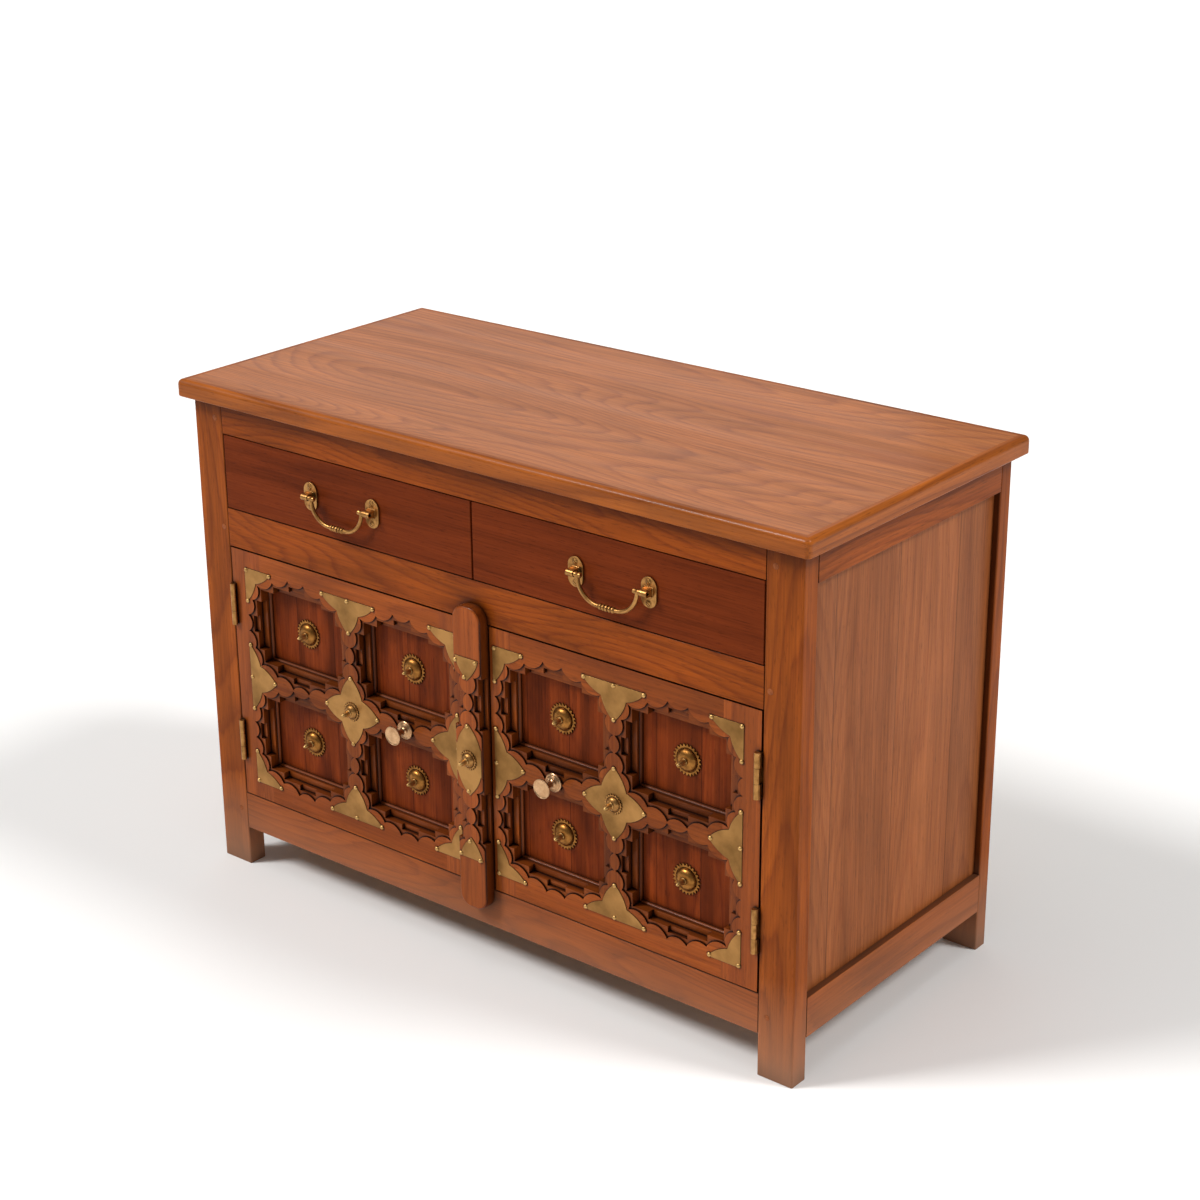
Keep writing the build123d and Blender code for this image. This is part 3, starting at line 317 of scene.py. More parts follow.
@dataclass(frozen=True)
class Hardwood:
    """Open-grained reddish hardwood, planed, stained and lacquered.

    Growth rings cut nearly flat give long nested arches, fibres give fine streaks, and
    the lacquer gives a clear reflection over a softer one.

    Attributes:
        name: Name of the material.
        light: Colour of a ring's early wood.
        body: Colour of a ring's late wood.
        dark: Colour of the broad bands.
        grain: Way the grain runs.
        arch_length_mm: Length of the nested arches.
        arch_width_mm: Width of the nested arches.
        rings: Growth rings across the whole figure.
        ring_depth: How fully late wood takes the body's colour.
        wander: How far a ring wavers, in widths of a ring.
        streak_depth: How fully a band takes the dark colour.
        plank_mm: Width of the planks of a glued panel, or zero for one board.
        plank_tone: How far planks differ in tone.
        across: Axis that runs across the planks.
        shade_depth: How dark painted shade makes sheltered wood.
        shade_reach_mm: How near its neighbours shelter it.
        shade_from: Openness of the darkest painted shade.
        line_stain_and_shade: How dark carved corners are painted, partly stain in the
            cuts and partly painted shade.
        floor_light: How strongly painted light from the floor lightens the lowest wood.
        patchiness: How far the stain varies.
        patch_mm: Length of the patches of stain.
        roughness: Roughness of the wood.
        coat: Weight of the lacquer's clear reflection.
        shine: Strength of the softer reflection under it.
    """

    name: str
    light: str
    body: str
    dark: str
    grain: Grain
    arch_length_mm: float = 2400.0
    arch_width_mm: float = 210.0
    rings: float = 26.0
    ring_depth: float = 0.55
    wander: float = 0.47
    streak_depth: float = 0.45
    plank_mm: float = 0.0
    plank_tone: float = 0.0
    across: Across = Across.SECOND
    shade_depth: float = 0.0
    shade_reach_mm: float = 10.0
    shade_from: float = 0.42
    line_stain_and_shade: float = 0.0
    floor_light: float = 0.0
    patchiness: float = 0.16
    patch_mm: float = 170.0
    roughness: float = 0.42
    coat: float = 0.04
    shine: float = 0.1

    def material(self) -> bpy.types.Material:
        """Build the wood's node material.

        Returns:
            The material.
        """
        material, tree = fresh_material(self.name)
        aligned = self.aligned(tree)
        bands = BANDS.spread(tree, aligned)
        fibres = FIBRES.tone(tree, aligned)
        pores = PORES.tone(tree, aligned)

        colour = self.banded(tree, self.ringed(tree, aligned), bands)
        for tone in (fibres, self.stain().tone(tree, aligned), pores):
            colour = add_node(
                tree, "ShaderNodeMix", MULTIPLIED, {0: 1.0, 6: colour, 7: tone}
            ).outputs[2]
        if self.plank_mm:
            colour = self.seams(tree, colour)
        if self.shade_depth:
            colour = self.hollows(tree, colour)
        if self.floor_light:
            colour = self.lit_from_floor(tree, colour)

        relief = add_node(
            tree, "ShaderNodeMath", {"operation": "MULTIPLY"}, {0: fibres, 1: pores}
        )
        bump = add_node(
            tree,
            "ShaderNodeBump",
            inputs={"Strength": 0.16, "Distance": 0.0004, "Height": relief.outputs[0]},
        )
        sheen = add_node(
            tree,
            "ShaderNodeMapRange",
            inputs={
                0: bands,
                1: 0.3,
                2: 0.7,
                3: self.roughness - 0.05,
                4: self.roughness + 0.07,
            },
        )
        shader = add_node(
            tree,
            "ShaderNodeBsdfPrincipled",
            inputs={
                "Base Color": colour,
                "Roughness": sheen.outputs[0],
                "IOR": 1.5,
                "Specular IOR Level": self.shine,
                "Coat Weight": self.coat,
                "Coat Roughness": 0.14,
                "Coat IOR": 1.5,
                "Normal": bump.outputs["Normal"],
            },
        )
        add_node(
            tree, "ShaderNodeOutputMaterial", inputs={"Surface": shader.outputs[0]}
        )
        return material

    def stain(self) -> Marks:
        """Patches as wide as a hand, where the stain has taken unevenly."""
        tint = (1 - self.patchiness, 1 + self.patchiness)
        return Marks(self.patch_mm, 0.3 * self.patch_mm, 2.0, (0.32, 0.68), tint)

    def turned(self, tree: bpy.types.NodeTree) -> bpy.types.NodeSocket:
        """Object coordinates turned until the grain runs along X.

        Args:
            tree: Tree of the material.

        Returns:
            Vector socket of the coordinates.
        """
        place = add_node(tree, "ShaderNodeTexCoord")
        return add_node(
            tree,
            "ShaderNodeMapping",
            inputs={"Vector": place.outputs["Object"], "Rotation": self.grain.value},
        ).outputs["Vector"]

    def aligned(self, tree: bpy.types.NodeTree) -> bpy.types.NodeSocket:
        """Coordinates in metres with the grain on X, shifted by board and by plank.

        Args:
            tree: Tree of the material.

        Returns:
            Vector socket of the coordinates.
        """
        turned = self.turned(tree)
        board = add_node(tree, "ShaderNodeAttribute", {"attribute_name": BOARD})
        shifts = [(BOARD_SHIFT, board.outputs["Fac"])]
        if self.plank_mm:
            shifts.append((PLANK_SHIFT, self.plank(tree, turned, "FLOOR")))
        moved = turned
        for direction, number in shifts:
            shift = add_node(
                tree,
                "ShaderNodeVectorMath",
                {"operation": "SCALE"},
                {0: direction, "Scale": number},
            )
            moved = add_node(
                tree,
                "ShaderNodeVectorMath",
                {"operation": "ADD"},
                {0: moved, 1: shift.outputs["Vector"]},
            ).outputs["Vector"]
        return moved

    def plank(
        self, tree: bpy.types.NodeTree, turned: bpy.types.NodeSocket, operation: str
    ) -> bpy.types.NodeSocket:
        """Count of planks up to a point, or the place within its plank.

        Args:
            tree: Tree of the material.
            turned: Coordinates with the grain on X.
            operation: "FLOOR" for the count, "FRACT" for the place from 0 to 1.

        Returns:
            Number socket.
        """
        parts = add_node(tree, "ShaderNodeSeparateXYZ", inputs={0: turned})
        widths = add_node(
            tree,
            "ShaderNodeMath",
            {"operation": "DIVIDE"},
            {0: parts.outputs[self.across.value], 1: self.plank_mm * MM},
        )
        return add_node(
            tree, "ShaderNodeMath", {"operation": operation}, {0: widths.outputs[0]}
        ).outputs[0]

    def ringed(
        self, tree: bpy.types.NodeTree, aligned: bpy.types.NodeSocket
    ) -> bpy.types.NodeSocket:
        """Colour of the growth rings, cut nearly flat into long nested arches.

        Args:
            tree: Tree of the material.
            aligned: Coordinates in metres with the grain on X.

        Returns:
            Colour socket.
        """
        arches = Marks(self.arch_length_mm, self.arch_width_mm, 1.3)
        uneven = add_node(
            tree,
            "ShaderNodeMath",
            {"operation": "MULTIPLY_ADD"},
            {
                0: WAVER.spread(tree, aligned),
                1: self.wander / self.rings,
                2: arches.spread(tree, aligned),
            },
        )
        count = add_node(
            tree,
            "ShaderNodeMath",
            {"operation": "MULTIPLY"},
            {0: uneven.outputs[0], 1: self.rings},
        )
        ring = add_node(
            tree, "ShaderNodeMath", {"operation": "FRACT"}, {0: count.outputs[0]}
        )
        # Early wood is pale and darkens slowly into the hard line of late wood.
        late = add_node(
            tree,
            "ShaderNodeValToRGB",
            {
                "stops": (
                    (0.0, grey(0.35)),
                    (0.12, grey(0.0)),
                    (0.6, grey(0.25)),
                    (0.93, grey(1.0)),
                    (1.0, grey(0.35)),
                )
            },
            {0: ring.outputs[0]},
        )
        depth = add_node(
            tree,
            "ShaderNodeMath",
            {"operation": "MULTIPLY"},
            {0: late.outputs["Color"], 1: self.ring_depth},
        )
        return add_node(
            tree,
            "ShaderNodeMix",
            BLENDED,
            {0: depth.outputs[0], 6: linear(self.light), 7: linear(self.body)},
        ).outputs[2]

    def banded(
        self,
        tree: bpy.types.NodeTree,
        colour: bpy.types.NodeSocket,
        bands: bpy.types.NodeSocket,
    ) -> bpy.types.NodeSocket:
        """Lay the broad darker bands over the rings.

        Args:
            tree: Tree of the material.
            colour: Colour so far.
            bands: Noise of the bands.

        Returns:
            Colour socket.
        """
        streak = add_node(
            tree,
            "ShaderNodeValToRGB",
            {"stops": ((0.46, grey(0.0)), (0.62, grey(0.55)), (0.78, grey(1.0)))},
            {0: bands},
        )
        depth = add_node(
            tree,
            "ShaderNodeMath",
            {"operation": "MULTIPLY"},
            {0: streak.outputs["Color"], 1: self.streak_depth},
        )
        return add_node(
            tree,
            "ShaderNodeMix",
            BLENDED,
            {0: depth.outputs[0], 6: colour, 7: linear(self.dark)},
        ).outputs[2]

    def seams(
        self, tree: bpy.types.NodeTree, colour: bpy.types.NodeSocket
    ) -> bpy.types.NodeSocket:
        """Give each plank of a panel its own tone and darken the glue lines between.

        Args:
            tree: Tree of the material.
            colour: Colour so far.

        Returns:
            Colour socket with the seams drawn.
        """
        turned = self.turned(tree)
        chance = add_node(
            tree,
            "ShaderNodeTexWhiteNoise",
            {"noise_dimensions": "1D"},
            {"W": self.plank(tree, turned, "FLOOR")},
        )
        plank_tone = add_node(
            tree,
            "ShaderNodeMapRange",
            inputs={
                0: chance.outputs["Value"],
                3: 1 - self.plank_tone,
                4: 1 + self.plank_tone,
            },
        )
        line = 0.5 * GLUE_LINE_MM / self.plank_mm
        glue = add_node(
            tree,
            "ShaderNodeValToRGB",
            {
                "stops": (
                    (0.0, grey(0.45)),
                    (line, grey(0.55)),
                    (2 * line, grey(1.0)),
                    (1 - 2 * line, grey(1.0)),
                    (1.0, grey(0.45)),
                )
            },
            {0: self.plank(tree, turned, "FRACT")},
        )
        for tone in (plank_tone.outputs[0], glue.outputs["Color"]):
            colour = add_node(
                tree, "ShaderNodeMix", MULTIPLIED, {0: 1.0, 6: colour, 7: tone}
            ).outputs[2]
        return colour

    def hollows(
        self, tree: bpy.types.NodeTree, colour: bpy.types.NodeSocket
    ) -> bpy.types.NodeSocket:
        """Paint shade on sheltered wood and in cut corners, the corners partly for
        stain run into the cuts.

        Args:
            tree: Tree of the material.
            colour: Colour so far.

        Returns:
            Colour socket with the painted shade.
        """
        shades = []
        if self.line_stain_and_shade:
            cut = add_node(tree, "ShaderNodeAttribute", {"attribute_name": CUT_STAIN_AND_SHADE})
            shades.append(cut.outputs["Fac"])
        # Painted shade: broad where neighbours shelter the wood, narrow in carved
        # corners.
        for reach_mm, open_from, depth in (
            (self.shade_reach_mm, self.shade_from, self.shade_depth),
            (CORNER_SHADE_REACH_MM, CORNER_SHADE_FROM, self.line_stain_and_shade),
        ):
            if not depth:
                continue
            shelter = add_node(
                tree,
                "ShaderNodeAmbientOcclusion",
                {"samples": 8},
                {"Distance": reach_mm * MM},
            )
            hollow_shade = add_node(
                tree,
                "ShaderNodeMapRange",
                inputs={
                    0: shelter.outputs["AO"],
                    1: open_from,
                    2: FULLY_OPEN,
                    3: depth,
                    4: 0.0,
                },
            )
            shades.append(hollow_shade.outputs[0])
        for shade in shades:
            colour = add_node(
                tree,
                "ShaderNodeMix",
                BLENDED,
                {0: shade, 6: colour, 7: linear(SETTLED_STAIN_AND_SHADE)},
            ).outputs[2]
        return colour

    def lit_from_floor(
        self, tree: bpy.types.NodeTree, colour: bpy.types.NodeSocket
    ) -> bpy.types.NodeSocket:
        """Paint light thrown up by the floor onto the lowest wood, fainter with height.

        Args:
            tree: Tree of the material.
            colour: Colour so far.

        Returns:
            Colour socket with the painted floor light.
        """
        place = add_node(tree, "ShaderNodeTexCoord")
        parts = add_node(
            tree, "ShaderNodeSeparateXYZ", inputs={0: place.outputs["Object"]}
        )
        # Painted light from the floor: lighter and greyer towards the floor.
        floor_glow = add_node(
            tree,
            "ShaderNodeMapRange",
            inputs={
                0: parts.outputs["Z"],
                1: FLOOR_LIGHT_HEIGHTS[0],
                2: FLOOR_LIGHT_HEIGHTS[1],
                3: self.floor_light,
                4: 0.0,
            },
        )
        return add_node(
            tree,
            "ShaderNodeMix",
            BLENDED,
            {0: floor_glow.outputs[0], 6: colour, 7: linear(PAINTED_FLOOR_LIGHT)},
        ).outputs[2]


@dataclass(frozen=True)
class Brass:
    """Sheet or cast brass, rubbed on its high parts and darkened in its hollows, partly
    tarnish and partly painted shade.

    The metal gives broad warm reflections; a mottled tarnish and shallow dents keep the
    sheet from looking flat.

    Attributes:
        name: Name of the material.
        bright: Colour of rubbed metal.
        tarnish: Colour of tarnished metal.
        mottle_mm: Width of the spots of tarnish.
        dent_mm: Width of the dents.
        dent_strength: How strongly the dents bend the light.
        rough_low: Roughness of rubbed metal.
        rough_high: Roughness of tarnished metal.
        shade_depth: How dark sheltered metal is painted, partly tarnish and partly
            painted shade.
        shade_reach_mm: How near its neighbours shelter it.
    """

    name: str
    bright: str
    tarnish: str
    mottle_mm: float = 14.0
    dent_mm: float = 9.0
    dent_strength: float = 0.25
    rough_low: float = 0.28
    rough_high: float = 0.5
    shade_depth: float = 0.75
    shade_reach_mm: float = 3.0

    def material(self) -> bpy.types.Material:
        """Build the metal's node material.

        Returns:
            The material.
        """
        material, tree = fresh_material(self.name)
        place = add_node(tree, "ShaderNodeTexCoord").outputs["Object"]
        mottle = add_node(
            tree,
            "ShaderNodeTexNoise",
            inputs={
                "Vector": place,
                "Scale": 1 / (self.mottle_mm * MM),
                "Detail": 4.0,
                "Roughness": 0.6,
            },
        )
        spots = add_node(
            tree,
            "ShaderNodeMapRange",
            inputs={
                0: mottle.outputs["Fac"],
                1: 0.38,
                2: 0.68,
                3: 0.0,
                4: FULL_TARNISH,
            },
        ).outputs[0]
        patina = add_node(
            tree,
            "ShaderNodeMix",
            BLENDED,
            {0: spots, 6: linear(self.bright), 7: linear(self.tarnish)},
        )
        # Sheltered metal is mixed towards the dark tarnish colour: partly tarnish,
        # partly painted shade.
        shelter = add_node(
            tree,
            "ShaderNodeAmbientOcclusion",
            {"samples": 8},
            {"Distance": self.shade_reach_mm * MM},
        )
        hollow_shade = add_node(
            tree,
            "ShaderNodeMapRange",
            inputs={
                0: shelter.outputs["AO"],
                1: 0.35,
                2: 0.9,
                3: self.shade_depth,
                4: 0.0,
            },
        )
        colour = add_node(
            tree,
            "ShaderNodeMix",
            BLENDED,
            {0: hollow_shade.outputs[0], 6: patina.outputs[2], 7: linear(TARNISH_AND_SHADE)},
        )
        dents = add_node(
            tree,
            "ShaderNodeTexNoise",
            inputs={
                "Vector": place,
                "Scale": 1 / (self.dent_mm * MM),
                "Detail": 2.0,
                "Roughness": 0.45,
            },
        )
        bump = add_node(
            tree,
            "ShaderNodeBump",
            inputs={
                "Strength": self.dent_strength,
                "Distance": 0.001,
                "Height": dents.outputs["Fac"],
            },
        )
        roughness = add_node(
            tree,
            "ShaderNodeMapRange",
            inputs={
                0: spots,
                1: 0.0,
                2: FULL_TARNISH,
                3: self.rough_low,
                4: self.rough_high,
            },
        )
        shader = add_node(
            tree,
            "ShaderNodeBsdfPrincipled",
            inputs={
                "Base Color": colour.outputs[2],
                "Metallic": 1.0,
                "Roughness": roughness.outputs[0],
                "Normal": bump.outputs["Normal"],
            },
        )
        add_node(
            tree, "ShaderNodeOutputMaterial", inputs={"Surface": shader.outputs[0]}
        )
        return material


class Finish(Enum):
    """Every finish on the sideboard."""

    # Boards sawn flat, planed, stained red-brown and lacquered: wide nested arches
    # under a soft shine.
    TOP_BOARD = Hardwood(
        "lacquered_hardwood_top", "ad642d", "85431c", "653013", Grain.ALONG_X,
        arch_length_mm=1350.0, arch_width_mm=230.0, rings=54.0, ring_depth=0.6,
        wander=0.42, streak_depth=0.3, patchiness=0.09, roughness=0.4, coat=0.18,
        shine=0.2,
    )
    # Lippings planed round along their upper edge and lacquered: straight, lighter
    # grain with a gleam along the round.
    TOP_LIPPING_X = Hardwood(
        "lacquered_hardwood_lipping_across", "a35619", "7c3c0e", "5c2808",
        Grain.ALONG_X, rings=30.0, ring_depth=0.8, coat=0.12, shine=0.12,
    )
    TOP_LIPPING_Y = Hardwood(
        "lacquered_hardwood_lipping_deep", "a35619", "7c3c0e", "5c2808",
        Grain.ALONG_Y, rings=30.0, ring_depth=0.8, coat=0.12, shine=0.12,
    )
    # Legs and rails, planed, stained and waxed: lively figure, painted shade where they
    # meet what stands over them, and painted light from the floor on their lowest part.
    FRAME_X = Hardwood(
        "stained_hardwood_across", "97470e", "79340a", "4a1c04", Grain.ALONG_X,
        arch_length_mm=620.0, arch_width_mm=120.0, rings=24.0, ring_depth=0.8,
        shade_depth=0.8, shade_reach_mm=40.0, shade_from=0.6, floor_light=0.48,
        shine=0.07,
    )
    FRAME_Y = Hardwood(
        "stained_hardwood_deep", "984b15", "7a370f", "4c1f06", Grain.ALONG_Y,
        arch_length_mm=900.0, rings=34.0, ring_depth=0.75,
        shade_depth=0.8, shade_reach_mm=40.0, shade_from=0.6, floor_light=0.48,
        shine=0.07,
    )
    FRAME_Z = Hardwood(
        "stained_hardwood_upright", "984b14", "7a370e", "4c1f06", Grain.ALONG_Z,
        arch_length_mm=1500.0, rings=34.0, ring_depth=0.75,
        shade_depth=0.8, shade_reach_mm=40.0, shade_from=0.6, floor_light=0.48,
        shine=0.07,
    )
    # Stiles and rails carved with gouges and stained: quiet grain, with near-black
    # lines in the cuts, partly stain run into them and partly painted shade, and
    # painted shade in their recesses.
    CARVED_X = Hardwood(
        "carved_hardwood_across", "984a16", "7b360f", "4e1f07", Grain.ALONG_X,
        shade_depth=0.8, line_stain_and_shade=0.95, coat=0.05,
    )
    CARVED_Z = Hardwood(
        "carved_hardwood_upright", "984a16", "7b360f", "4e1f07", Grain.ALONG_Z,
        shade_depth=0.8, line_stain_and_shade=0.95, coat=0.12,
    )
    # Bars carved all over, which took more stain and less polish: darker and duller,
    # with the same painted shade in cuts and recesses.
    LATTICE_X = Hardwood(
        "carved_hardwood_lattice_across", "884213", "6f300c", "471c05", Grain.ALONG_X,
        shade_depth=0.8, line_stain_and_shade=0.95, coat=0.03,
    )
    LATTICE_Z = Hardwood(
        "carved_hardwood_lattice_upright", "884213", "6f300c", "471c05", Grain.ALONG_Z,
        shade_depth=0.8, line_stain_and_shade=0.95, coat=0.06,
    )
    # Narrow planks glued and stained dark red: upright streaks and blotches, no shine,
    # and painted shade where the frame stands over their edges.
    DOOR_PANEL = Hardwood(
        "stained_hardwood_door_panel", "7e3511", "64250a", "3d1303", Grain.ALONG_Z,
        plank_mm=72.0, plank_tone=0.1, across=Across.THIRD, streak_depth=0.6,
        ring_depth=0.7, patchiness=0.3, patch_mm=90.0,
        shade_depth=0.9, coat=0.0, shine=0.05,
    )
    # Wide planks glued, planed and stained: quiet straight figure, a tone for each.
    SIDE_PANEL = Hardwood(
        "stained_hardwood_side_panel", "a05c30", "854522", "562813", Grain.ALONG_Z,
        plank_mm=142.0, across=Across.SECOND, streak_depth=0.35, ring_depth=0.48,
        rings=44.0, wander=0.36, plank_tone=0.16, patchiness=0.1,
    )
    # One close-grained board, stained darkest and only waxed: nearly even and dull.
    DRAWER_FRONT = Hardwood(
        "dark_stained_hardwood_drawer", "743010", "5e240a", "3d1404", Grain.ALONG_X,
        rings=16.0, ring_depth=0.5, streak_depth=0.5, patchiness=0.07, coat=0.0,
        shine=0.04,
    )
    # Plain softwood boards, planed and left bare: pale and matt, with faint lines.
    INNER_X = Hardwood(
        "plain_softwood_across", "b98d61", "a27549", "8a5f38", Grain.ALONG_X,
        coat=0.0, roughness=0.6, patchiness=0.05, streak_depth=0.2, ring_depth=0.4,
    )
    INNER_Y = Hardwood(
        "plain_softwood_deep", "b98d61", "a27549", "8a5f38", Grain.ALONG_Y,
        coat=0.0, roughness=0.6, patchiness=0.05, streak_depth=0.2, ring_depth=0.4,
    )
    INNER_Z = Hardwood(
        "plain_softwood_upright", "b98d61", "a27549", "8a5f38", Grain.ALONG_Z,
        coat=0.0, roughness=0.6, patchiness=0.05, streak_depth=0.2, ring_depth=0.4,
    )
    # Pegs driven in and pared nearly flush: small end-grain discs in a ring of painted
    # shade.
    PEG = Hardwood(
        "end_grain_peg", "96522a", "7f4220", "5c2c12", Grain.ALONG_Y,
        shade_depth=0.9, shade_reach_mm=2.0,
    )
    # Thin sheet brass cut with shears and nailed down: broad patches of olive tarnish
    # and a skin that is nowhere quite flat.
    SHEET_BRASS = Brass(
        "aged_sheet_brass", "af814a", "664822", mottle_mm=64.0, dent_mm=10.0,
        dent_strength=0.35, rough_low=0.36, rough_high=0.52,
    )
    # Brass cast in sand and filed: rubbed bright on the edges, brown in the hollows,
    # partly tarnish and partly painted shade.
    CAST_BRASS = Brass(
        "aged_cast_brass", "b6854d", "7a5228", mottle_mm=9.0, dent_mm=5.0,
        dent_strength=0.12, rough_low=0.32, rough_high=0.5, shade_depth=0.9,
        shade_reach_mm=7.0,
    )
    # Sheet brass stamped into domes and teeth: smooth, yellow, and dark between the
    # teeth, partly tarnish and partly painted shade.
    GILT_BRASS = Brass(
        "stamped_yellow_brass", "a26e35", "66401c", mottle_mm=7.0, dent_mm=4.0,
        dent_strength=0.1, rough_low=0.32, rough_high=0.48, shade_depth=0.9,
    )
    # Turned brass rubbed by hands and cloths: pale points that stand out.
    STUD = Brass(
        "rubbed_brass_stud", "d6ac6c", "a67f48", mottle_mm=6.0, dent_mm=4.0,
        dent_strength=0.05, rough_low=0.38, rough_high=0.5, shade_depth=0.7,
    )
    # Turned brass polished by use: the brightest metal, a little pink, softly dented.
    POLISHED_BRASS = Brass(
        "polished_brass", "d3aa80", "a3764e", mottle_mm=11.0, dent_mm=13.0,
        dent_strength=0.4, rough_low=0.26, rough_high=0.38, shade_depth=0.6,
    )


_made: dict[Finish, bpy.types.Material] = {}


def dress(piece: Piece, finish: Finish, slot: str) -> None:
    """Give a piece one finish and name the record's slot that it stands for.

    Args:
        piece: Object to dress.
        finish: Finish to give it.
        slot: Material slot of the record.
    """
    if finish not in _made:
        _made[finish] = finish.value.material()
    piece.data.materials.clear()
    piece.data.materials.append(_made[finish])
    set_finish(piece, slot)


# ---------------------------------------------------------------- bench work


def pick(*pieces: Piece) -> None:
    """Select only these pieces and make the first one active.

    Args:
        *pieces: Objects to select.
    """
    bpy.ops.object.select_all(action="DESELECT")
    for piece in pieces:
        piece.select_set(True)
    bpy.context.view_layer.objects.active = pieces[0]


def clear(piece: Piece, mode: str) -> None:
    """Deselect every part of a piece's mesh and leave edit mode ready for one kind.

    Args:
        piece: Object whose mesh is cleared.
        mode: "VERT", "EDGE" or "FACE", the kind that is selected next.
    """
    pick(piece)
    bpy.ops.object.mode_set(mode="EDIT")
    bpy.ops.mesh.select_mode(type=mode)
    bpy.ops.mesh.select_all(action="DESELECT")
    bpy.ops.object.mode_set(mode="OBJECT")


def settle(piece: Piece) -> None:
    """Put a piece's place, turn and scale into its mesh, with its origin at zero."""
    pick(piece)
    bpy.ops.object.transform_apply(location=True, rotation=True, scale=True)


def named(name: str) -> Piece:
    """Name the active object and its mesh.

    Args:
        name: Name that both get.

    Returns:
        The active object.
    """
    piece = bpy.context.active_object
    piece.name = name
    piece.data.name = name
    return piece


def with_modifier(piece: Piece, kind: str, **settings: Any) -> None:
    """Add a modifier to a piece, set it and apply it.

    Args:
        piece: Object that the modifier shapes.
        kind: Blender's name for the modifier.
        **settings: Properties of the modifier.
    """
    pick(piece)
    bpy.ops.object.modifier_add(type=kind)
    modifier = piece.modifiers[-1]
    for name, value in settings.items():
        setattr(modifier, name, value)
    bpy.ops.object.modifier_apply(modifier=modifier.name)


def copy_of(piece: Piece, name: str) -> Piece:
    """Copy a piece with its own mesh, free of any body.

    Args:
        piece: Object to copy.
        name: Name of the copy.

    Returns:
        The copy.
    """
    pick(piece)
    bpy.ops.object.duplicate()
    double = named(name)
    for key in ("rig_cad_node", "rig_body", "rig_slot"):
        if key in double:
            del double[key]
    bpy.ops.object.parent_clear(type="CLEAR_KEEP_TRANSFORM")
    return double


def joined(pieces: Sequence[Piece], name: str) -> Piece:
    """Join pieces into one.

    Args:
        pieces: Objects to join, the one that is kept first.
        name: Name of the joined piece.

    Returns:
        The joined piece.
    """
    pick(*pieces)
    bpy.ops.object.join()
    return named(name)


def number_boards(piece: Piece, seed: float) -> Piece:
    """Give each loose board of a piece its own number, which shifts its grain.

    Args:
        piece: Object of one or more separate boards.
        seed: Number of the first board.

    Returns:
        The piece, joined again.
    """
    name = piece.name
    pick(piece)
    bpy.ops.object.mode_set(mode="EDIT")
    bpy.ops.mesh.select_all(action="SELECT")
    bpy.ops.mesh.separate(type="LOOSE")
    bpy.ops.object.mode_set(mode="OBJECT")
    boards = sorted(bpy.context.selected_objects, key=lambda one: one.name)
    for step, board in enumerate(boards):
        attribute = board.data.attributes.new(BOARD, "FLOAT", "POINT")
        number = (seed + NEXT_BOARD * step) % 1.0
        attribute.data.foreach_set("value", [number] * len(board.data.vertices))
    return joined(boards, name)


def merged_copy(source: Piece, name: str) -> Piece:
    """Copy a CAD node with its loose triangles merged and its flat faces whole again.

    Args:
        source: CAD node's object.
        name: Name of the copy.

    Returns:
        The copy, free of any body.
    """
    piece = copy_of(source, name)
    bpy.ops.object.mode_set(mode="EDIT")
    bpy.ops.mesh.select_all(action="SELECT")
    bpy.ops.mesh.remove_doubles(threshold=MERGE_GAP)
    bpy.ops.mesh.dissolve_limited(angle_limit=FLAT_ANGLE)
    bpy.ops.object.mode_set(mode="OBJECT")
    return piece


def ease(
    piece: Piece, source: Piece, ease_mm: float, seed: float, clamp: bool = False
) -> Piece:
    """Round a piece's arrises a little, so that they catch the light.

    Args:
        piece: Merged copy of a CAD node.
        source: The CAD node's object, for which the piece stands.
        ease_mm: Width of the eased edges.
        seed: Number that shifts the grain of its boards.
        clamp: Whether short edges keep the easing of all edges narrow.

    Returns:
        The piece, riding on the node's body.
    """
    node, body = source["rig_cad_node"], source["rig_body"]
    with_modifier(
        piece,
        "BEVEL",
        width=ease_mm * MM,
        segments=2,
        limit_method="ANGLE",
        angle_limit=ARRIS_ANGLE,
        use_clamp_overlap=clamp,
    )
    pick(piece)
    bpy.ops.object.shade_smooth_by_angle(angle=EASED_ANGLE)
    with_modifier(piece, "WEIGHTED_NORMAL", keep_sharp=True, weight=80)
    piece = number_boards(piece, seed)
    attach(piece, body)
    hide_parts(node)
    LOG.info("%s: %d faces on %s", piece.name, len(piece.data.polygons), body)
    return piece


def eased(source: Piece, name: str, ease_mm: float, seed: float) -> Piece:
    """Merge a copy of a CAD node and ease its arrises."""
    return ease(merged_copy(source, name), source, ease_mm, seed)


def sink_ledges(piece: Piece, face_y: float) -> None:
    """Sink the ledge round the scallops of a carved member, so that it takes a shadow.

    Args:
        piece: Merged copy of the member.
        face_y: Y of the member's front face.
    """
    ledge_y = face_y + LEDGE_MM * MM
    clear(piece, "FACE")
    for polygon in piece.data.polygons:
        on_ledge = abs(polygon.center.y - ledge_y) < LEDGE_SLACK_MM * MM
        polygon.select = on_ledge and polygon.normal.y < -0.9
    bpy.ops.object.mode_set(mode="EDIT")
    bpy.ops.transform.translate(value=(0, LEDGE_SINK_MM * MM, 0))
    bpy.ops.object.mode_set(mode="OBJECT")


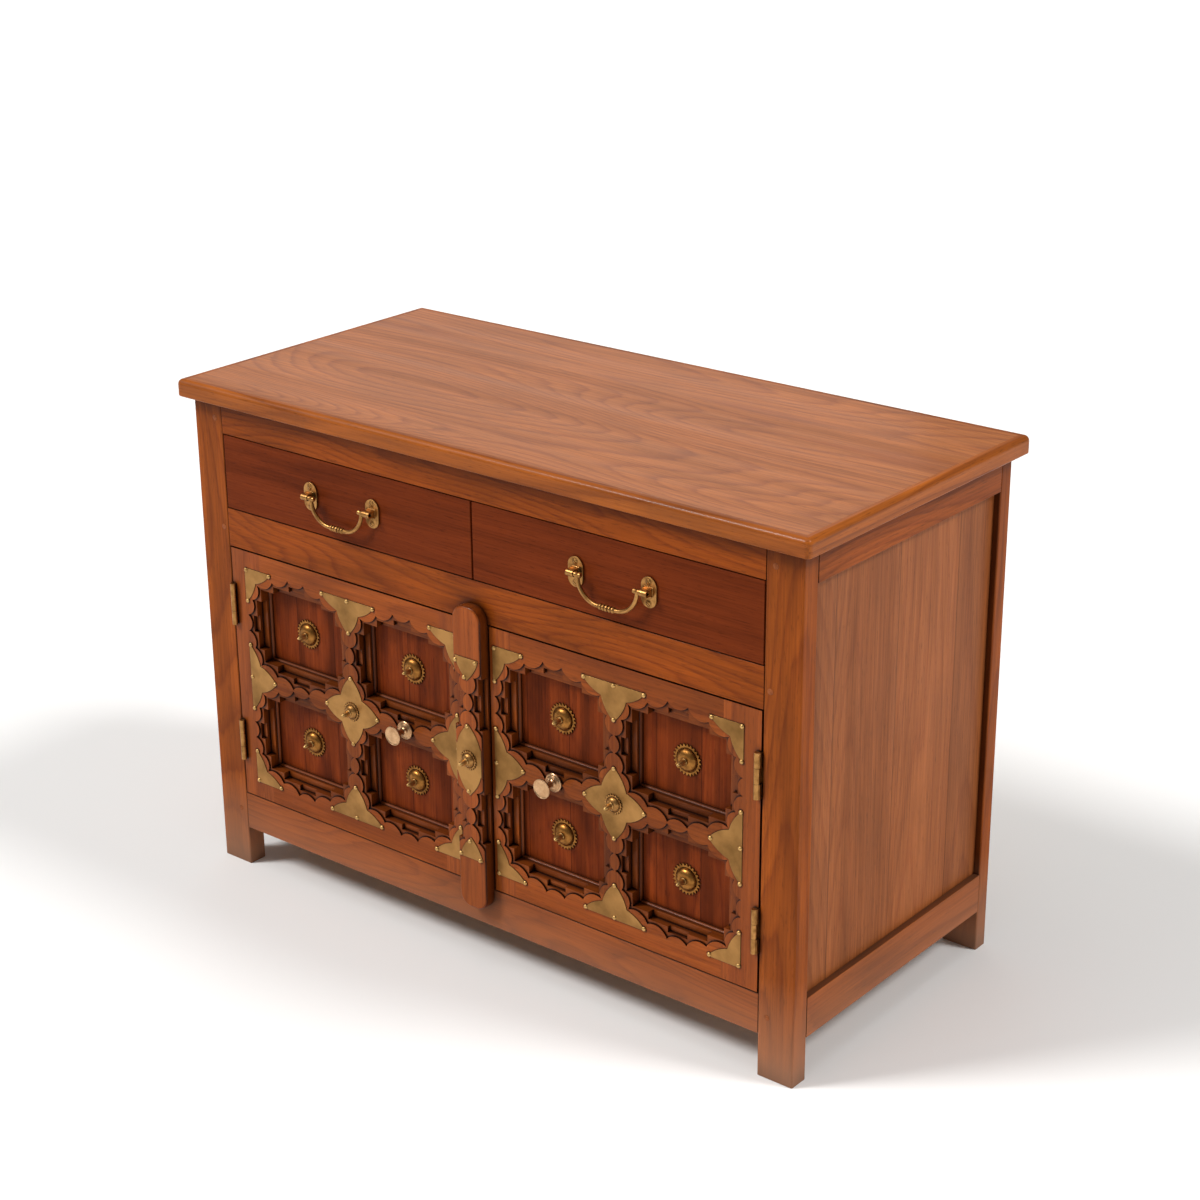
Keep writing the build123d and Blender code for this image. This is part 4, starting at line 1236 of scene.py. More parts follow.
def mark_cut_shade(piece: Piece, face_y: float) -> None:
    """Number the cut faces of a carved member by how dark they are painted: partly
    stain in the cuts, partly painted shade.

    Args:
        piece: Eased member.
        face_y: Y of the member's front face.
    """
    attribute = piece.data.attributes.new(CUT_STAIN_AND_SHADE, "FLOAT", "FACE")
    ledge_mm = LEDGE_MM + LEDGE_SINK_MM
    values = []
    for polygon in piece.data.polygons:
        depth_mm = (polygon.center.y - face_y) / MM
        sideways = abs(polygon.normal.y) < 0.5
        if polygon.normal.y > 0.5 or depth_mm < CUT_SLACK_MM:
            values.append(0.0)
        elif depth_mm < ledge_mm + CUT_SLACK_MM:
            values.append(WALL_STAIN_AND_SHADE if sideways else LEDGE_STAIN_AND_SHADE)
        else:
            values.append(DEEP_WALL_SHADE if sideways else DEEP_FACE_SHADE)
    attribute.data.foreach_set("value", values)


def lathe(name: str, profile: Profile, steps: int = 40) -> Piece:
    """Turn a shape on a lathe, its base at zero and its tip towards the front.

    A circle is drawn at the base and pulled out ring by ring, as far forward and as
    wide as the profile says; a radius of zero closes the tip.

    Args:
        name: Name of the piece.
        profile: Radius and height of each ring in millimetres, from the base on.
        steps: Sides of the rings.

    Returns:
        The turned piece at the origin.
    """
    radius, height = profile[0]
    bpy.ops.object.select_all(action="DESELECT")
    bpy.ops.mesh.primitive_circle_add(
        vertices=steps,
        radius=radius * MM,
        fill_type="NGON",
        location=(0, -height * MM, 0),
        rotation=(math.pi / 2, 0, 0),
    )
    piece = named(name)
    settle(piece)
    bpy.ops.object.mode_set(mode="EDIT")
    bpy.ops.mesh.select_all(action="SELECT")
    for profile_radius, next_height in profile[1:]:
        bpy.ops.mesh.extrude_region_move(
            TRANSFORM_OT_translate={"value": (0, (height - next_height) * MM, 0)}
        )
        next_radius = max(profile_radius, TIP_MM)
        ratio = next_radius / radius
        bpy.ops.transform.resize(
            value=(ratio, 1, ratio), center_override=(0, -next_height * MM, 0)
        )
        radius, height = next_radius, next_height
    if profile[-1][0] == 0:
        bpy.ops.mesh.merge(type="CENTER")
    bpy.ops.mesh.select_all(action="SELECT")
    bpy.ops.mesh.normals_make_consistent(inside=False)
    bpy.ops.object.mode_set(mode="OBJECT")
    bpy.ops.object.shade_smooth_by_angle(angle=TURNED_ANGLE)
    return piece


def set_out(model: Piece, places: Iterable[Place], name: str) -> Piece:
    """Copy a model to each place, remove the model and join the copies.

    Args:
        model: Piece at the origin.
        places: Where the copies go, in metres.
        name: Name of the joined piece.

    Returns:
        The joined copies, with their places in the mesh.
    """
    copies = []
    for number, place in enumerate(places):
        double = copy_of(model, f"{name}_{number}")
        double.location = place
        settle(double)
        copies.append(double)
    bpy.data.objects.remove(model)
    return joined(copies, name)


# ---------------------------------------------------------------- sub-assemblies


@dataclass
class Top:
    """Top board inside four mitred lippings with a rounded upper edge.

    Attributes:
        ease_mm: Width of the eased edges.
        first_seed: Number that shifts the board's grain.
        seed_step: How much further each lipping's grain is shifted.
        boards: Nodes with their finishes.
    """

    ease_mm: float = 0.25
    first_seed: float = 0.11
    seed_step: float = 0.23
    boards: tuple[tuple[str, Finish], ...] = (
        ("top_panel", Finish.TOP_BOARD),
        ("top_front_lipping", Finish.TOP_LIPPING_X),
        ("top_back_lipping", Finish.TOP_LIPPING_X),
        ("top_end_lippings", Finish.TOP_LIPPING_Y),
    )

    def build(self, nodes: dict[str, Piece]) -> None:
        """Copy the board and its lippings with eased edges and dress them.

        Args:
            nodes: Objects of the CAD nodes by name.
        """
        for step, (node, finish) in enumerate(self.boards):
            seed = self.first_seed + self.seed_step * step
            piece = eased(nodes[node], f"{node}_wood", self.ease_mm, seed)
            dress(piece, finish, "top_hardwood")


@dataclass
class Carcass:
    """Legs, rails, sunk panels and inner boards of the cabinet.

    Attributes:
        ease_mm: Width of the eased edges of legs and rails.
        panel_ease_mm: Width of the eased edges of the side panels.
        inner_boards: Unseen boards with their finishes.
        peg_profile: Radius and height of a peg's rings, in millimetres.
        peg_places: X and Z of the right leg's pegs.
    """

    ease_mm: float = 0.9
    panel_ease_mm: float = 0.4
    inner_boards: tuple[tuple[str, Finish], ...] = (
        ("back_panel", Finish.INNER_Z),
        ("dust_board", Finish.INNER_X),
        ("cupboard_floor", Finish.INNER_X),
        ("dust_board_cleats", Finish.INNER_Y),
        ("drawer_guides", Finish.INNER_Y),
    )
    peg_profile: Profile = ((4.2, -1.0), (4.2, 0.12), (3.612, 0.3))
    peg_places: tuple[tuple[float, float], ...] = (
        (0.482, 0.700),
        (0.4775, 0.538),
        (0.482, 0.089),
    )

    def frame_members(self) -> list[tuple[str, Finish]]:
        """List the legs and rails.

        Returns:
            Each member's node with the finish that follows its grain.
        """
        members = [
            (f"{end}_{side}_leg", Finish.FRAME_Z)
            for end in ("front", "back")
            for side in ("left", "right")
        ]
        members += [
            (f"front_{rail}_rail", Finish.FRAME_X)
            for rail in ("top", "middle", "bottom")
        ]
        members += [(f"back_{rail}_rail", Finish.FRAME_X) for rail in ("top", "bottom")]
        members += [
            (f"{side}_side_{rail}_rail", Finish.FRAME_Y)
            for side in ("left", "right")
            for rail in ("top", "bottom")
        ]
        return members

    def build(self, nodes: dict[str, Piece]) -> None:
        """Ease and dress the frame and panels, and dress the inner boards.

        Args:
            nodes: Objects of the CAD nodes by name.
        """
        for step, (node, finish) in enumerate(self.frame_members()):
            seed = 0.07 + 0.171 * step
            piece = eased(nodes[node], f"{node}_wood", self.ease_mm, seed)
            dress(piece, finish, "stained_hardwood")
        for side, seed in (("left", 0.2), ("right", 0.5)):
            node = f"{side}_side_panel"
            piece = eased(nodes[node], f"{node}_wood", self.panel_ease_mm, seed)
            dress(piece, Finish.SIDE_PANEL, "panel_hardwood")
        for node, finish in self.inner_boards:
            dress(nodes[node], finish, "inner_softwood")
        self.pegs()

    def pegs(self) -> None:
        """Set the pegs that pin the front rails' tenons in the legs."""
        peg = lathe("peg", self.peg_profile, steps=20)
        places = [
            (side * x, FRONT_Y, z) for x, z in self.peg_places for side in (-1, 1)
        ]
        pegs = set_out(peg, places, "tenon_pegs")
        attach(pegs, "cabinet")
        dress(pegs, Finish.PEG, "stained_hardwood")
        LOG.info("tenon_pegs: %d", len(places))


@dataclass
class DropHandle:
    """Drop handle: two screwed escutcheons with lugs, and a bail that swings in them.

    Profiles are radius and height of each ring in millimetres.

    Attributes:
        side: "left" or "right", the drawer that it is on.
        centre_x: X of its middle.
        height: Z of the escutcheons' middles.
        pivot_height: Z of the pins that the bail turns on.
        pivot_stand_mm: How far the pins stand in front of the drawer.
        half_centres_mm: Half the distance between the escutcheons.
        arm_half_mm: Half the distance between the bail's arms.
        drop_mm: How far the grip hangs below the pins.
        wire_mm: Radius of the bail's wire.
        collar_inset_mm: How far the collars start inside the arms.
        screw_drop_mm: How far the screws are above and below the middle.
        screw_seat_mm: How far the screws' feet stand in front of the drawer.
        slot_mm: Length, depth and width of the screwdriver's slot.
        slot_height_mm: Height of its middle in the screw.
        slot_turn: Its turn from level, in degrees.
        plate_ease_mm: Width of the escutcheons' eased edges.
        screw_profile: Screw's head in its sunk, rimmed seat.
        collar_profile: Bead, neck and pin at the top of an arm.
    """

    side: str
    centre_x: float
    height: float = 0.62275
    pivot_height: float = 0.62425
    pivot_stand_mm: float = 12.0
    half_centres_mm: float = 58.5
    arm_half_mm: float = 48.0
    drop_mm: float = 34.0
    wire_mm: float = 2.9
    collar_inset_mm: float = 4.9
    screw_drop_mm: float = 14.2
    screw_seat_mm: float = 2.6
    slot_mm: Place = (9.0, 1.2, 1.0)
    slot_height_mm: float = 1.5
    slot_turn: float = 35.0
    plate_ease_mm: float = 0.5
    screw_profile: Profile = (
        (4.7, 0.0),
        (4.7, 0.6),
        (4.0, 0.8),
        (3.5, 0.1),
        (3.4, 0.7),
        (2.788, 1.2),
        (1.53, 1.5),
        (0.0, 1.6),
    )
    collar_profile: Profile = (
        (2.0, -1.6),
        (3.2, -0.9),
        (3.4, 0.6),
        (3.3, 2.6),
        (2.6, 4.2),
        (3.2, 5.2),
        (3.4, 6.4),
        (3.3, 8.9),
        (2.0, 9.0),
        (2.0, 16.8),
    )

    def build(self, nodes: dict[str, Piece]) -> None:
        """Build and dress the escutcheons, their screws and the bail.

        Args:
            nodes: Objects of the CAD nodes by name.
        """
        source = nodes[f"{self.side}_handle_escutcheons"]
        plates = eased(source, f"{self.side}_handle_plates", self.plate_ease_mm, 0.0)
        dress(plates, Finish.CAST_BRASS, "aged_brass")
        self.screws()
        self.bail()

    def screws(self) -> None:
        """Set the slotted screws above and below each lug."""
        screw = lathe("screw", self.screw_profile, steps=20)
        bpy.ops.object.select_all(action="DESELECT")
        slot_y = -self.slot_height_mm * MM
        bpy.ops.mesh.primitive_cube_add(size=1, location=(0, slot_y, 0))
        blade = named("screwdriver_slot")
        blade.scale = [length * MM for length in self.slot_mm]
        blade.rotation_euler = (0, math.radians(self.slot_turn), 0)
        settle(blade)
        with_modifier(screw, "BOOLEAN", operation="DIFFERENCE", object=blade)
        bpy.data.objects.remove(blade)
        places = [
            (
                self.centre_x + post * self.half_centres_mm * MM,
                FRONT_Y - self.screw_seat_mm * MM,
                self.height + end * self.screw_drop_mm * MM,
            )
            for post in (-1, 1)
            for end in (-1, 1)
        ]
        screws = set_out(screw, places, f"{self.side}_handle_screws")
        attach(screws, f"{self.side}_drawer")
        dress(screws, Finish.CAST_BRASS, "aged_brass")

    def bail(self) -> None:
        """Bend the wire, turn the grip and the collars, and hang them in the lugs."""
        wire = self.wire_mm * MM
        drop = self.drop_mm * MM
        arm = self.arm_half_mm * MM
        bpy.ops.object.select_all(action="DESELECT")
        bpy.ops.mesh.primitive_circle_add(
            vertices=18, radius=wire, location=(-arm, 0, 0), fill_type="NOTHING"
        )
        rod = named(f"{self.side}_bail_rod")
        settle(rod)
        bpy.ops.object.mode_set(mode="EDIT")
        bpy.ops.mesh.select_all(action="SELECT")
        bpy.ops.mesh.spin(
            steps=12, angle=math.pi / 2, center=(-arm + drop, 0, 0), axis=(0, 1, 0)
        )
        bpy.ops.mesh.extrude_edges_move(
            TRANSFORM_OT_translate={"value": (2 * (arm - drop), 0, 0)}
        )
        bpy.ops.mesh.spin(
            steps=12, angle=math.pi / 2, center=(arm - drop, 0, 0), axis=(0, 1, 0)
        )
        bpy.ops.mesh.select_all(action="SELECT")
        bpy.ops.mesh.remove_doubles(threshold=MERGE_GAP)
        bpy.ops.mesh.normals_make_consistent(inside=False)
        bpy.ops.object.mode_set(mode="OBJECT")
        bpy.ops.object.shade_smooth()

        grip = lathe("grip", self.grip_profile(), steps=22)
        parts = [rod, self.laid(grip, 1, (0, 0, -drop))]
        for sign in (-1, 1):
            collar = lathe("collar", self.collar_profile, steps=22)
            start = sign * (arm - self.collar_inset_mm * MM)
            parts.append(self.laid(collar, sign, (start, 0, 0)))
        bail = joined(parts, f"{self.side}_bail_brass")
        pivot_y = FRONT_Y - self.pivot_stand_mm * MM
        bail.location = (self.centre_x, pivot_y, self.pivot_height)
        settle(bail)
        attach(bail, f"{self.side}_bail")
        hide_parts(f"{self.side}_handle_bail")
        dress(bail, Finish.CAST_BRASS, "aged_brass")
        LOG.info("%s: %d faces", bail.name, len(bail.data.polygons))

    def laid(self, piece: Piece, sign: int, place: Place) -> Piece:
        """Lay a turned piece along X and move it to its place.

        Args:
            piece: Turned piece at the origin.
            sign: 1 or -1, the way its tip points along X.
            place: Where its base goes, in metres.

        Returns:
            The piece, with its place in its mesh.
        """
        piece.rotation_euler = (0, 0, sign * math.pi / 2)
        settle(piece)
        piece.location = place
        settle(piece)
        return piece

    def grip_profile(self) -> Profile:
        """Ringed grip, thickest in the middle.

        Returns:
            Radius of each ring and its place along the grip, in millimetres.
        """
        rings: list[tuple[float, float]] = [(2.6, -14.0), (3.2, -13.2)]
        for ring in range(-2, 3):
            middle = ring * 5.0
            crest = 4.6 - 0.15 * abs(ring)
            rings += [
                (2.7, middle - 2.3),
                (crest - 0.4, middle - 1.6),
                (crest, middle - 0.6),
                (crest, middle + 0.6),
                (crest - 0.4, middle + 1.6),
                (2.7, middle + 2.3),
            ]
        return tuple(rings + [(3.2, 13.2), (2.6, 14.0)])


@dataclass
class Drawer:
    """Drawer with a dark flush front, and its drop handle.

    Attributes:
        side: "left" or "right".
        handle_x: X of the right drawer's handle.
        front_ease_mm: Width of the front's eased edges.
        seeds: Numbers that shift the grain of the two fronts.
    """

    side: str
    handle_x: float = 0.236
    front_ease_mm: float = 0.7
    seeds: tuple[float, float] = (0.15, 0.62)

    def build(self, nodes: dict[str, Piece]) -> None:
        """Ease and dress the front, dress the box and build the handle.

        Args:
            nodes: Objects of the CAD nodes by name.
        """
        is_left = self.side == "left"
        node = f"{self.side}_drawer_front"
        seed = self.seeds[0] if is_left else self.seeds[1]
        front = eased(nodes[node], f"{node}_wood", self.front_ease_mm, seed)
        dress(front, Finish.DRAWER_FRONT, "drawer_front_hardwood")
        for part, finish in (
            ("sides", Finish.INNER_Y),
            ("back", Finish.INNER_X),
            ("bottom", Finish.INNER_X),
        ):
            dress(nodes[f"{self.side}_drawer_{part}"], finish, "inner_softwood")
        handle_x = -self.handle_x if is_left else self.handle_x
        DropHandle(self.side, handle_x).build(nodes)


@dataclass
class Lattice:
    """Setting-out of one door's carved lattice: its nodes and the windows between.

    Attributes:
        side: -1 for the left door, 1 for the right one.
        columns: X of the right door's nodes, outwards.
        rows: Z of the nodes, upwards.
        tips: How far a plate's tips reach from its node, in X and Z.
        inset: How far a nail stays inside a plate's straight edge.
    """

    side: int
    columns: tuple[float, float, float] = (0.032, 0.236, 0.440)
    rows: tuple[float, float, float] = (0.146, 0.315, 0.484)
    tips: tuple[tuple[float, float], ...] = (
        (0.049, 0.0),
        (-0.049, 0.0),
        (0.0, 0.050),
        (0.0, -0.050),
    )
    inset: float = 0.0027

    def middle(self) -> Place:
        """Node in the middle of the door, on the face of its plate."""
        return (self.side * self.columns[1], FRONT_Y - PLATE, self.rows[1])

    def window_centres(self) -> list[Place]:
        """Middles of the four windows, on the face of their panels.

        Returns:
            Places in metres.
        """
        return [
            (
                self.side * (self.columns[c] + self.columns[c + 1]) / 2,
                PANEL_Y,
                (self.rows[r] + self.rows[r + 1]) / 2,
            )
            for c in range(2)
            for r in range(2)
        ]

    def nail_places(self) -> list[Place]:
        """Nails at the tips of every plate, and on its straight edges' middles.

        Returns:
            Places in metres.
        """
        slack = 0.001
        low_x, high_x = self.columns[0], self.columns[-1]
        low_z, high_z = self.rows[0], self.rows[-1]
        places = []
        for column in self.columns:
            for row in self.rows:
                tips = list(self.tips)
                if (column, row) != (self.columns[1], self.rows[1]):
                    tips.append((0.0, 0.0))
                for reach_x, reach_z in tips:
                    x, z = column + reach_x, row + reach_z
                    inside_x = low_x - slack < x < high_x + slack
                    inside_z = low_z - slack < z < high_z + slack
                    if inside_x and inside_z:
                        x = min(max(x, low_x + self.inset), high_x - self.inset)
                        z = min(max(z, low_z + self.inset), high_z - self.inset)
                        places.append((self.side * x, FRONT_Y - PLATE, z))
        return places


@dataclass
class Brasswork:
    """Plates, nails, spiked bosses, rosettes, knob and hinges of one door.

    Profiles are radius and height of each ring in millimetres, from the base on.

    Attributes:
        door: Body of the door.
        lattice: Setting-out of its carving.
        sheet_ease_mm: Width of the plates' eased edges.
        hinge_ease_mm: Width of the hinge leaves' eased edges.
        knob_x: X of the right door's knob.
        boss_teeth: Teeth round a spiked boss.
        boss_gap_mm: Depth of the gaps between them.
        rosette_teeth: Teeth round a rosette.
        rosette_gap_mm: Depth of the gaps between them.
        strip_nails_mm: X and Z of the nails on the cover strip's plates.
        nail_profile: Domed nail.
        boss_profile: Boss under a spike: toothed rim, groove and dome.
        rosette_profile: Rosette: toothed rim, groove, dome and sunk crown.
        stud_profile: Collar and bullet-shaped spike, 15 high.
        knob_profile: Knob: embossed plate, neck and head with a dished rim.
    """

    door: str
    lattice: Lattice
    sheet_ease_mm: float = 0.25
    hinge_ease_mm: float = 0.2
    knob_x: float = 0.134
    boss_teeth: int = 20
    boss_gap_mm: float = 2.2
    rosette_teeth: int = 24
    rosette_gap_mm: float = 4.0
    strip_nails_mm: tuple[tuple[float, float], ...] = (
        (-19.5, 457.0),
        (15.5, 460.0),
        (-4.5, 435.0),
        (-2.0, 364.0),
        (-2.0, 268.0),
        (-19.5, 169.5),
        (15.5, 168.0),
        (-2.5, 192.0),
    )
    nail_profile: Profile = (
        (3.2, 0.0),
        (3.008, 0.7),
        (2.304, 1.5),
        (1.216, 2.0),
        (0.0, 2.15),
    )
    boss_profile: Profile = (
        (14.5, 0.0),
        (14.5, 1.1),
        (14.1, 1.6),
        (11.4, 1.6),
        (11.0, 0.9),
        (10.4, 0.9),
        (10.0, 2.4),
        (8.8, 4.2),
        (7.0, 5.5),
        (5.4, 6.1),
        (3.0, 6.4),
        (0.0, 6.5),
    )
    rosette_profile: Profile = (
        (22.5, 0.0),
        (22.5, 1.2),
        (22.2, 1.6),
        (17.0, 1.6),
        (16.6, 0.8),
        (16.0, 0.8),
        (15.7, 2.4),
        (14.8, 4.3),
        (13.2, 6.0),
        (11.0, 7.3),
        (8.6, 8.1),
        (6.4, 8.4),
        (5.2, 8.1),
        (4.0, 7.8),
        (0.0, 7.7),
    )
    stud_profile: Profile = (
        (4.4, 0.0),
        (5.0, 0.5),
        (5.0, 1.2),
        (4.5, 1.8),
        (4.2, 2.2),
        (4.2, 4.0),
        (3.9, 7.0),
        (3.1, 10.6),
        (2.0, 13.4),
        (0.9, 14.7),
        (0.0, 15.0),
    )
    knob_profile: Profile = (
        (13.5, 0.0),
        (13.5, 0.9),
        (13.0, 1.8),
        (11.9, 2.3),
        (10.8, 1.8),
        (9.9, 2.3),
        (8.6, 3.4),
        (6.8, 4.0),
        (4.9, 4.8),
        (4.1, 6.4),
        (3.8, 9.5),
        (3.8, 13.0),
        (4.2, 16.5),
        (5.2, 18.8),
        (7.4, 20.4),
        (10.4, 21.5),
        (12.8, 22.6),
        (13.9, 23.6),
        (14.0, 24.5),
        (13.6, 25.4),
        (12.9, 25.6),
        (12.1, 25.0),
        (11.2, 24.7),
        (9.0, 25.1),
        (5.0, 25.8),
        (0.0, 26.0),
    )

    def build(self, nodes: dict[str, Piece]) -> None:
        """Build and dress every brass piece on the door.

        Args:
            nodes: Objects of the CAD nodes by name.
        """
        plates = nodes[f"{self.door}_plates"]
        sheets = eased(plates, f"{self.door}_sheets", self.sheet_ease_mm, 0.0)
        dress(sheets, Finish.SHEET_BRASS, "aged_brass")
        self.nails()
        self.bosses()
        self.rosettes()
        self.knob()
        leaves = nodes[f"{self.door}_hinge_leaves"]
        hinge = eased(leaves, f"{self.door}_hinge_brass", self.hinge_ease_mm, 0.0)
        dress(hinge, Finish.CAST_BRASS, "aged_brass")

    def keep(self, piece: Piece, finish: Finish, slot: str) -> None:
        """Hang a piece on the door and dress it.

        Args:
            piece: Finished piece, in its place.
            finish: Finish to give it.
            slot: Material slot of the record.
        """
        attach(piece, self.door)
        dress(piece, finish, slot)
        LOG.info("%s: %d faces", piece.name, len(piece.data.polygons))

    def nails(self) -> None:
        """Domed nails at the tips of the plates."""
        nail = lathe("nail", self.nail_profile, steps=16)
        places = self.lattice.nail_places()
        if self.lattice.side < 0:
            places += [
                (x * MM, STRIP_Y - PLATE, z * MM) for x, z in self.strip_nails_mm
            ]
        nails = set_out(nail, places, f"{self.door}_nails")
        self.keep(nails, Finish.STUD, "aged_brass")

    def bosses(self) -> None:
        """Spiked bosses on the middle star and on the cover strip."""
        base = lathe("boss", self.boss_profile, steps=2 * self.boss_teeth)
        rim_mm = self.boss_profile[0][0]
        self.cut_teeth(base, self.boss_teeth, rim_mm, self.boss_gap_mm)
        places = [self.lattice.middle()]
        if self.lattice.side < 0:
            places.append((0.0, STRIP_Y - PLATE, self.lattice.rows[1]))
        stud = self.stud("boss_stud", base_mm=6.0, tip_mm=20.5)
        studs = set_out(stud, places, f"{self.door}_boss_studs")
        self.keep(studs, Finish.STUD, "aged_brass")
        bosses = set_out(base, places, f"{self.door}_spiked_bosses")
        self.keep(bosses, Finish.CAST_BRASS, "aged_brass")

    def rosettes(self) -> None:
        """Toothed rosettes with a dome and a spiked stud, one on each panel."""
        steps = 2 * self.rosette_teeth
        disc = lathe("rosette_disc", self.rosette_profile, steps=steps)
        rim_mm = self.rosette_profile[0][0]
        self.cut_teeth(disc, self.rosette_teeth, rim_mm, self.rosette_gap_mm)
        places = self.lattice.window_centres()
        stud = self.stud("rosette_stud", base_mm=7.5, tip_mm=23.0)
        studs = set_out(stud, places, f"{self.door}_rosette_studs")
        self.keep(studs, Finish.STUD, "aged_brass")
        rosettes = set_out(disc, places, f"{self.door}_rosettes")
        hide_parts(f"{self.door}_bosses")
        self.keep(rosettes, Finish.GILT_BRASS, "aged_brass")

    def stud(self, name: str, base_mm: float, tip_mm: float) -> Piece:
        """Stud with a collar at its foot and a spike shaped like a bullet.

        Args:
            name: Name of the piece.
            base_mm: Height of its foot above the plate.
            tip_mm: Height of its tip.

        Returns:
            The stud at the origin.
        """
        rise = (tip_mm - base_mm) / self.stud_profile[-1][1]
        shape = [(radius, base_mm + up * rise) for radius, up in self.stud_profile]
        return lathe(name, shape, steps=28)

    def cut_teeth(self, disc: Piece, teeth: int, rim_mm: float, gap_mm: float) -> None:
        """Draw in the rim between the teeth, at every other point of its edge.

        Args:
            disc: Turned piece with two points of its rim for each tooth.
            teeth: Number of teeth.
            rim_mm: Radius of the rim.
            gap_mm: Depth of the gaps.
        """
        lowest = (rim_mm - gap_mm / 2) * MM
        clear(disc, "VERT")
        for vertex in disc.data.vertices:
            turn = math.atan2(vertex.co.z, vertex.co.x) * teeth / math.pi
            between = round(turn) % 2 == 1
            vertex.select = between and math.hypot(vertex.co.x, vertex.co.z) > lowest
        bpy.ops.object.mode_set(mode="EDIT")
        ratio = 1 - gap_mm / rim_mm
        bpy.ops.transform.resize(value=(ratio, 1, ratio), center_override=(0, 0, 0))
        bpy.ops.object.mode_set(mode="OBJECT")

    def knob(self) -> None:
        """Round knob on an embossed plate."""
        knob = lathe(f"{self.door}_knob_brass", self.knob_profile, steps=52)
        knob.location = (self.lattice.side * self.knob_x, FRONT_Y, self.lattice.rows[1])
        settle(knob)
        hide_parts(f"{self.door}_knob")
        self.keep(knob, Finish.POLISHED_BRASS, "polished_brass")


@dataclass
class Door:
    """Framed door with a carved lattice round four sunk panels, and its brasswork.

    Attributes:
        side: -1 for the left door, 1 for the right one.
        ease_mm: Width of the carved members' eased edges.
        panel_ease_mm: Width of the panels' eased edges.
        right_shift: How much further the right door's grain is shifted.
    """

    side: int
    ease_mm: float = 0.22
    panel_ease_mm: float = 0.3
    right_shift: float = 0.4

    def build(self, nodes: dict[str, Piece]) -> None:
        """Carve, ease and dress the door's timber, then build its brasswork.

        Args:
            nodes: Objects of the CAD nodes by name.
        """
        door = "left_door" if self.side < 0 else "right_door"
        shift = self.right_shift if self.side > 0 else 0.0
        timber = [
            (f"{door}_hinge_stile", Finish.CARVED_Z),
            (f"{door}_meeting_stile", Finish.CARVED_Z),
            (f"{door}_bottom_rail", Finish.CARVED_X),
            (f"{door}_middle_rail", Finish.LATTICE_X),
            (f"{door}_top_rail", Finish.CARVED_X),
            (f"{door}_muntins", Finish.LATTICE_Z),
        ]
        if self.side < 0:
            timber.append(("cover_strip", Finish.CARVED_Z))
        for step, (node, finish) in enumerate(timber):
            seed = 0.05 + 0.137 * step + shift
            face_y = STRIP_Y if node == "cover_strip" else FRONT_Y
            member = merged_copy(nodes[node], f"{node}_wood")
            sink_ledges(member, face_y)
            piece = ease(member, nodes[node], self.ease_mm, seed, clamp=True)
            mark_cut_shade(piece, face_y)
            dress(piece, finish, "stained_hardwood")
        node = f"{door}_panels"
        panels = eased(nodes[node], f"{node}_wood", self.panel_ease_mm, 0.3 + shift)
        dress(panels, Finish.DOOR_PANEL, "panel_hardwood")
        Brasswork(door, Lattice(self.side)).build(nodes)


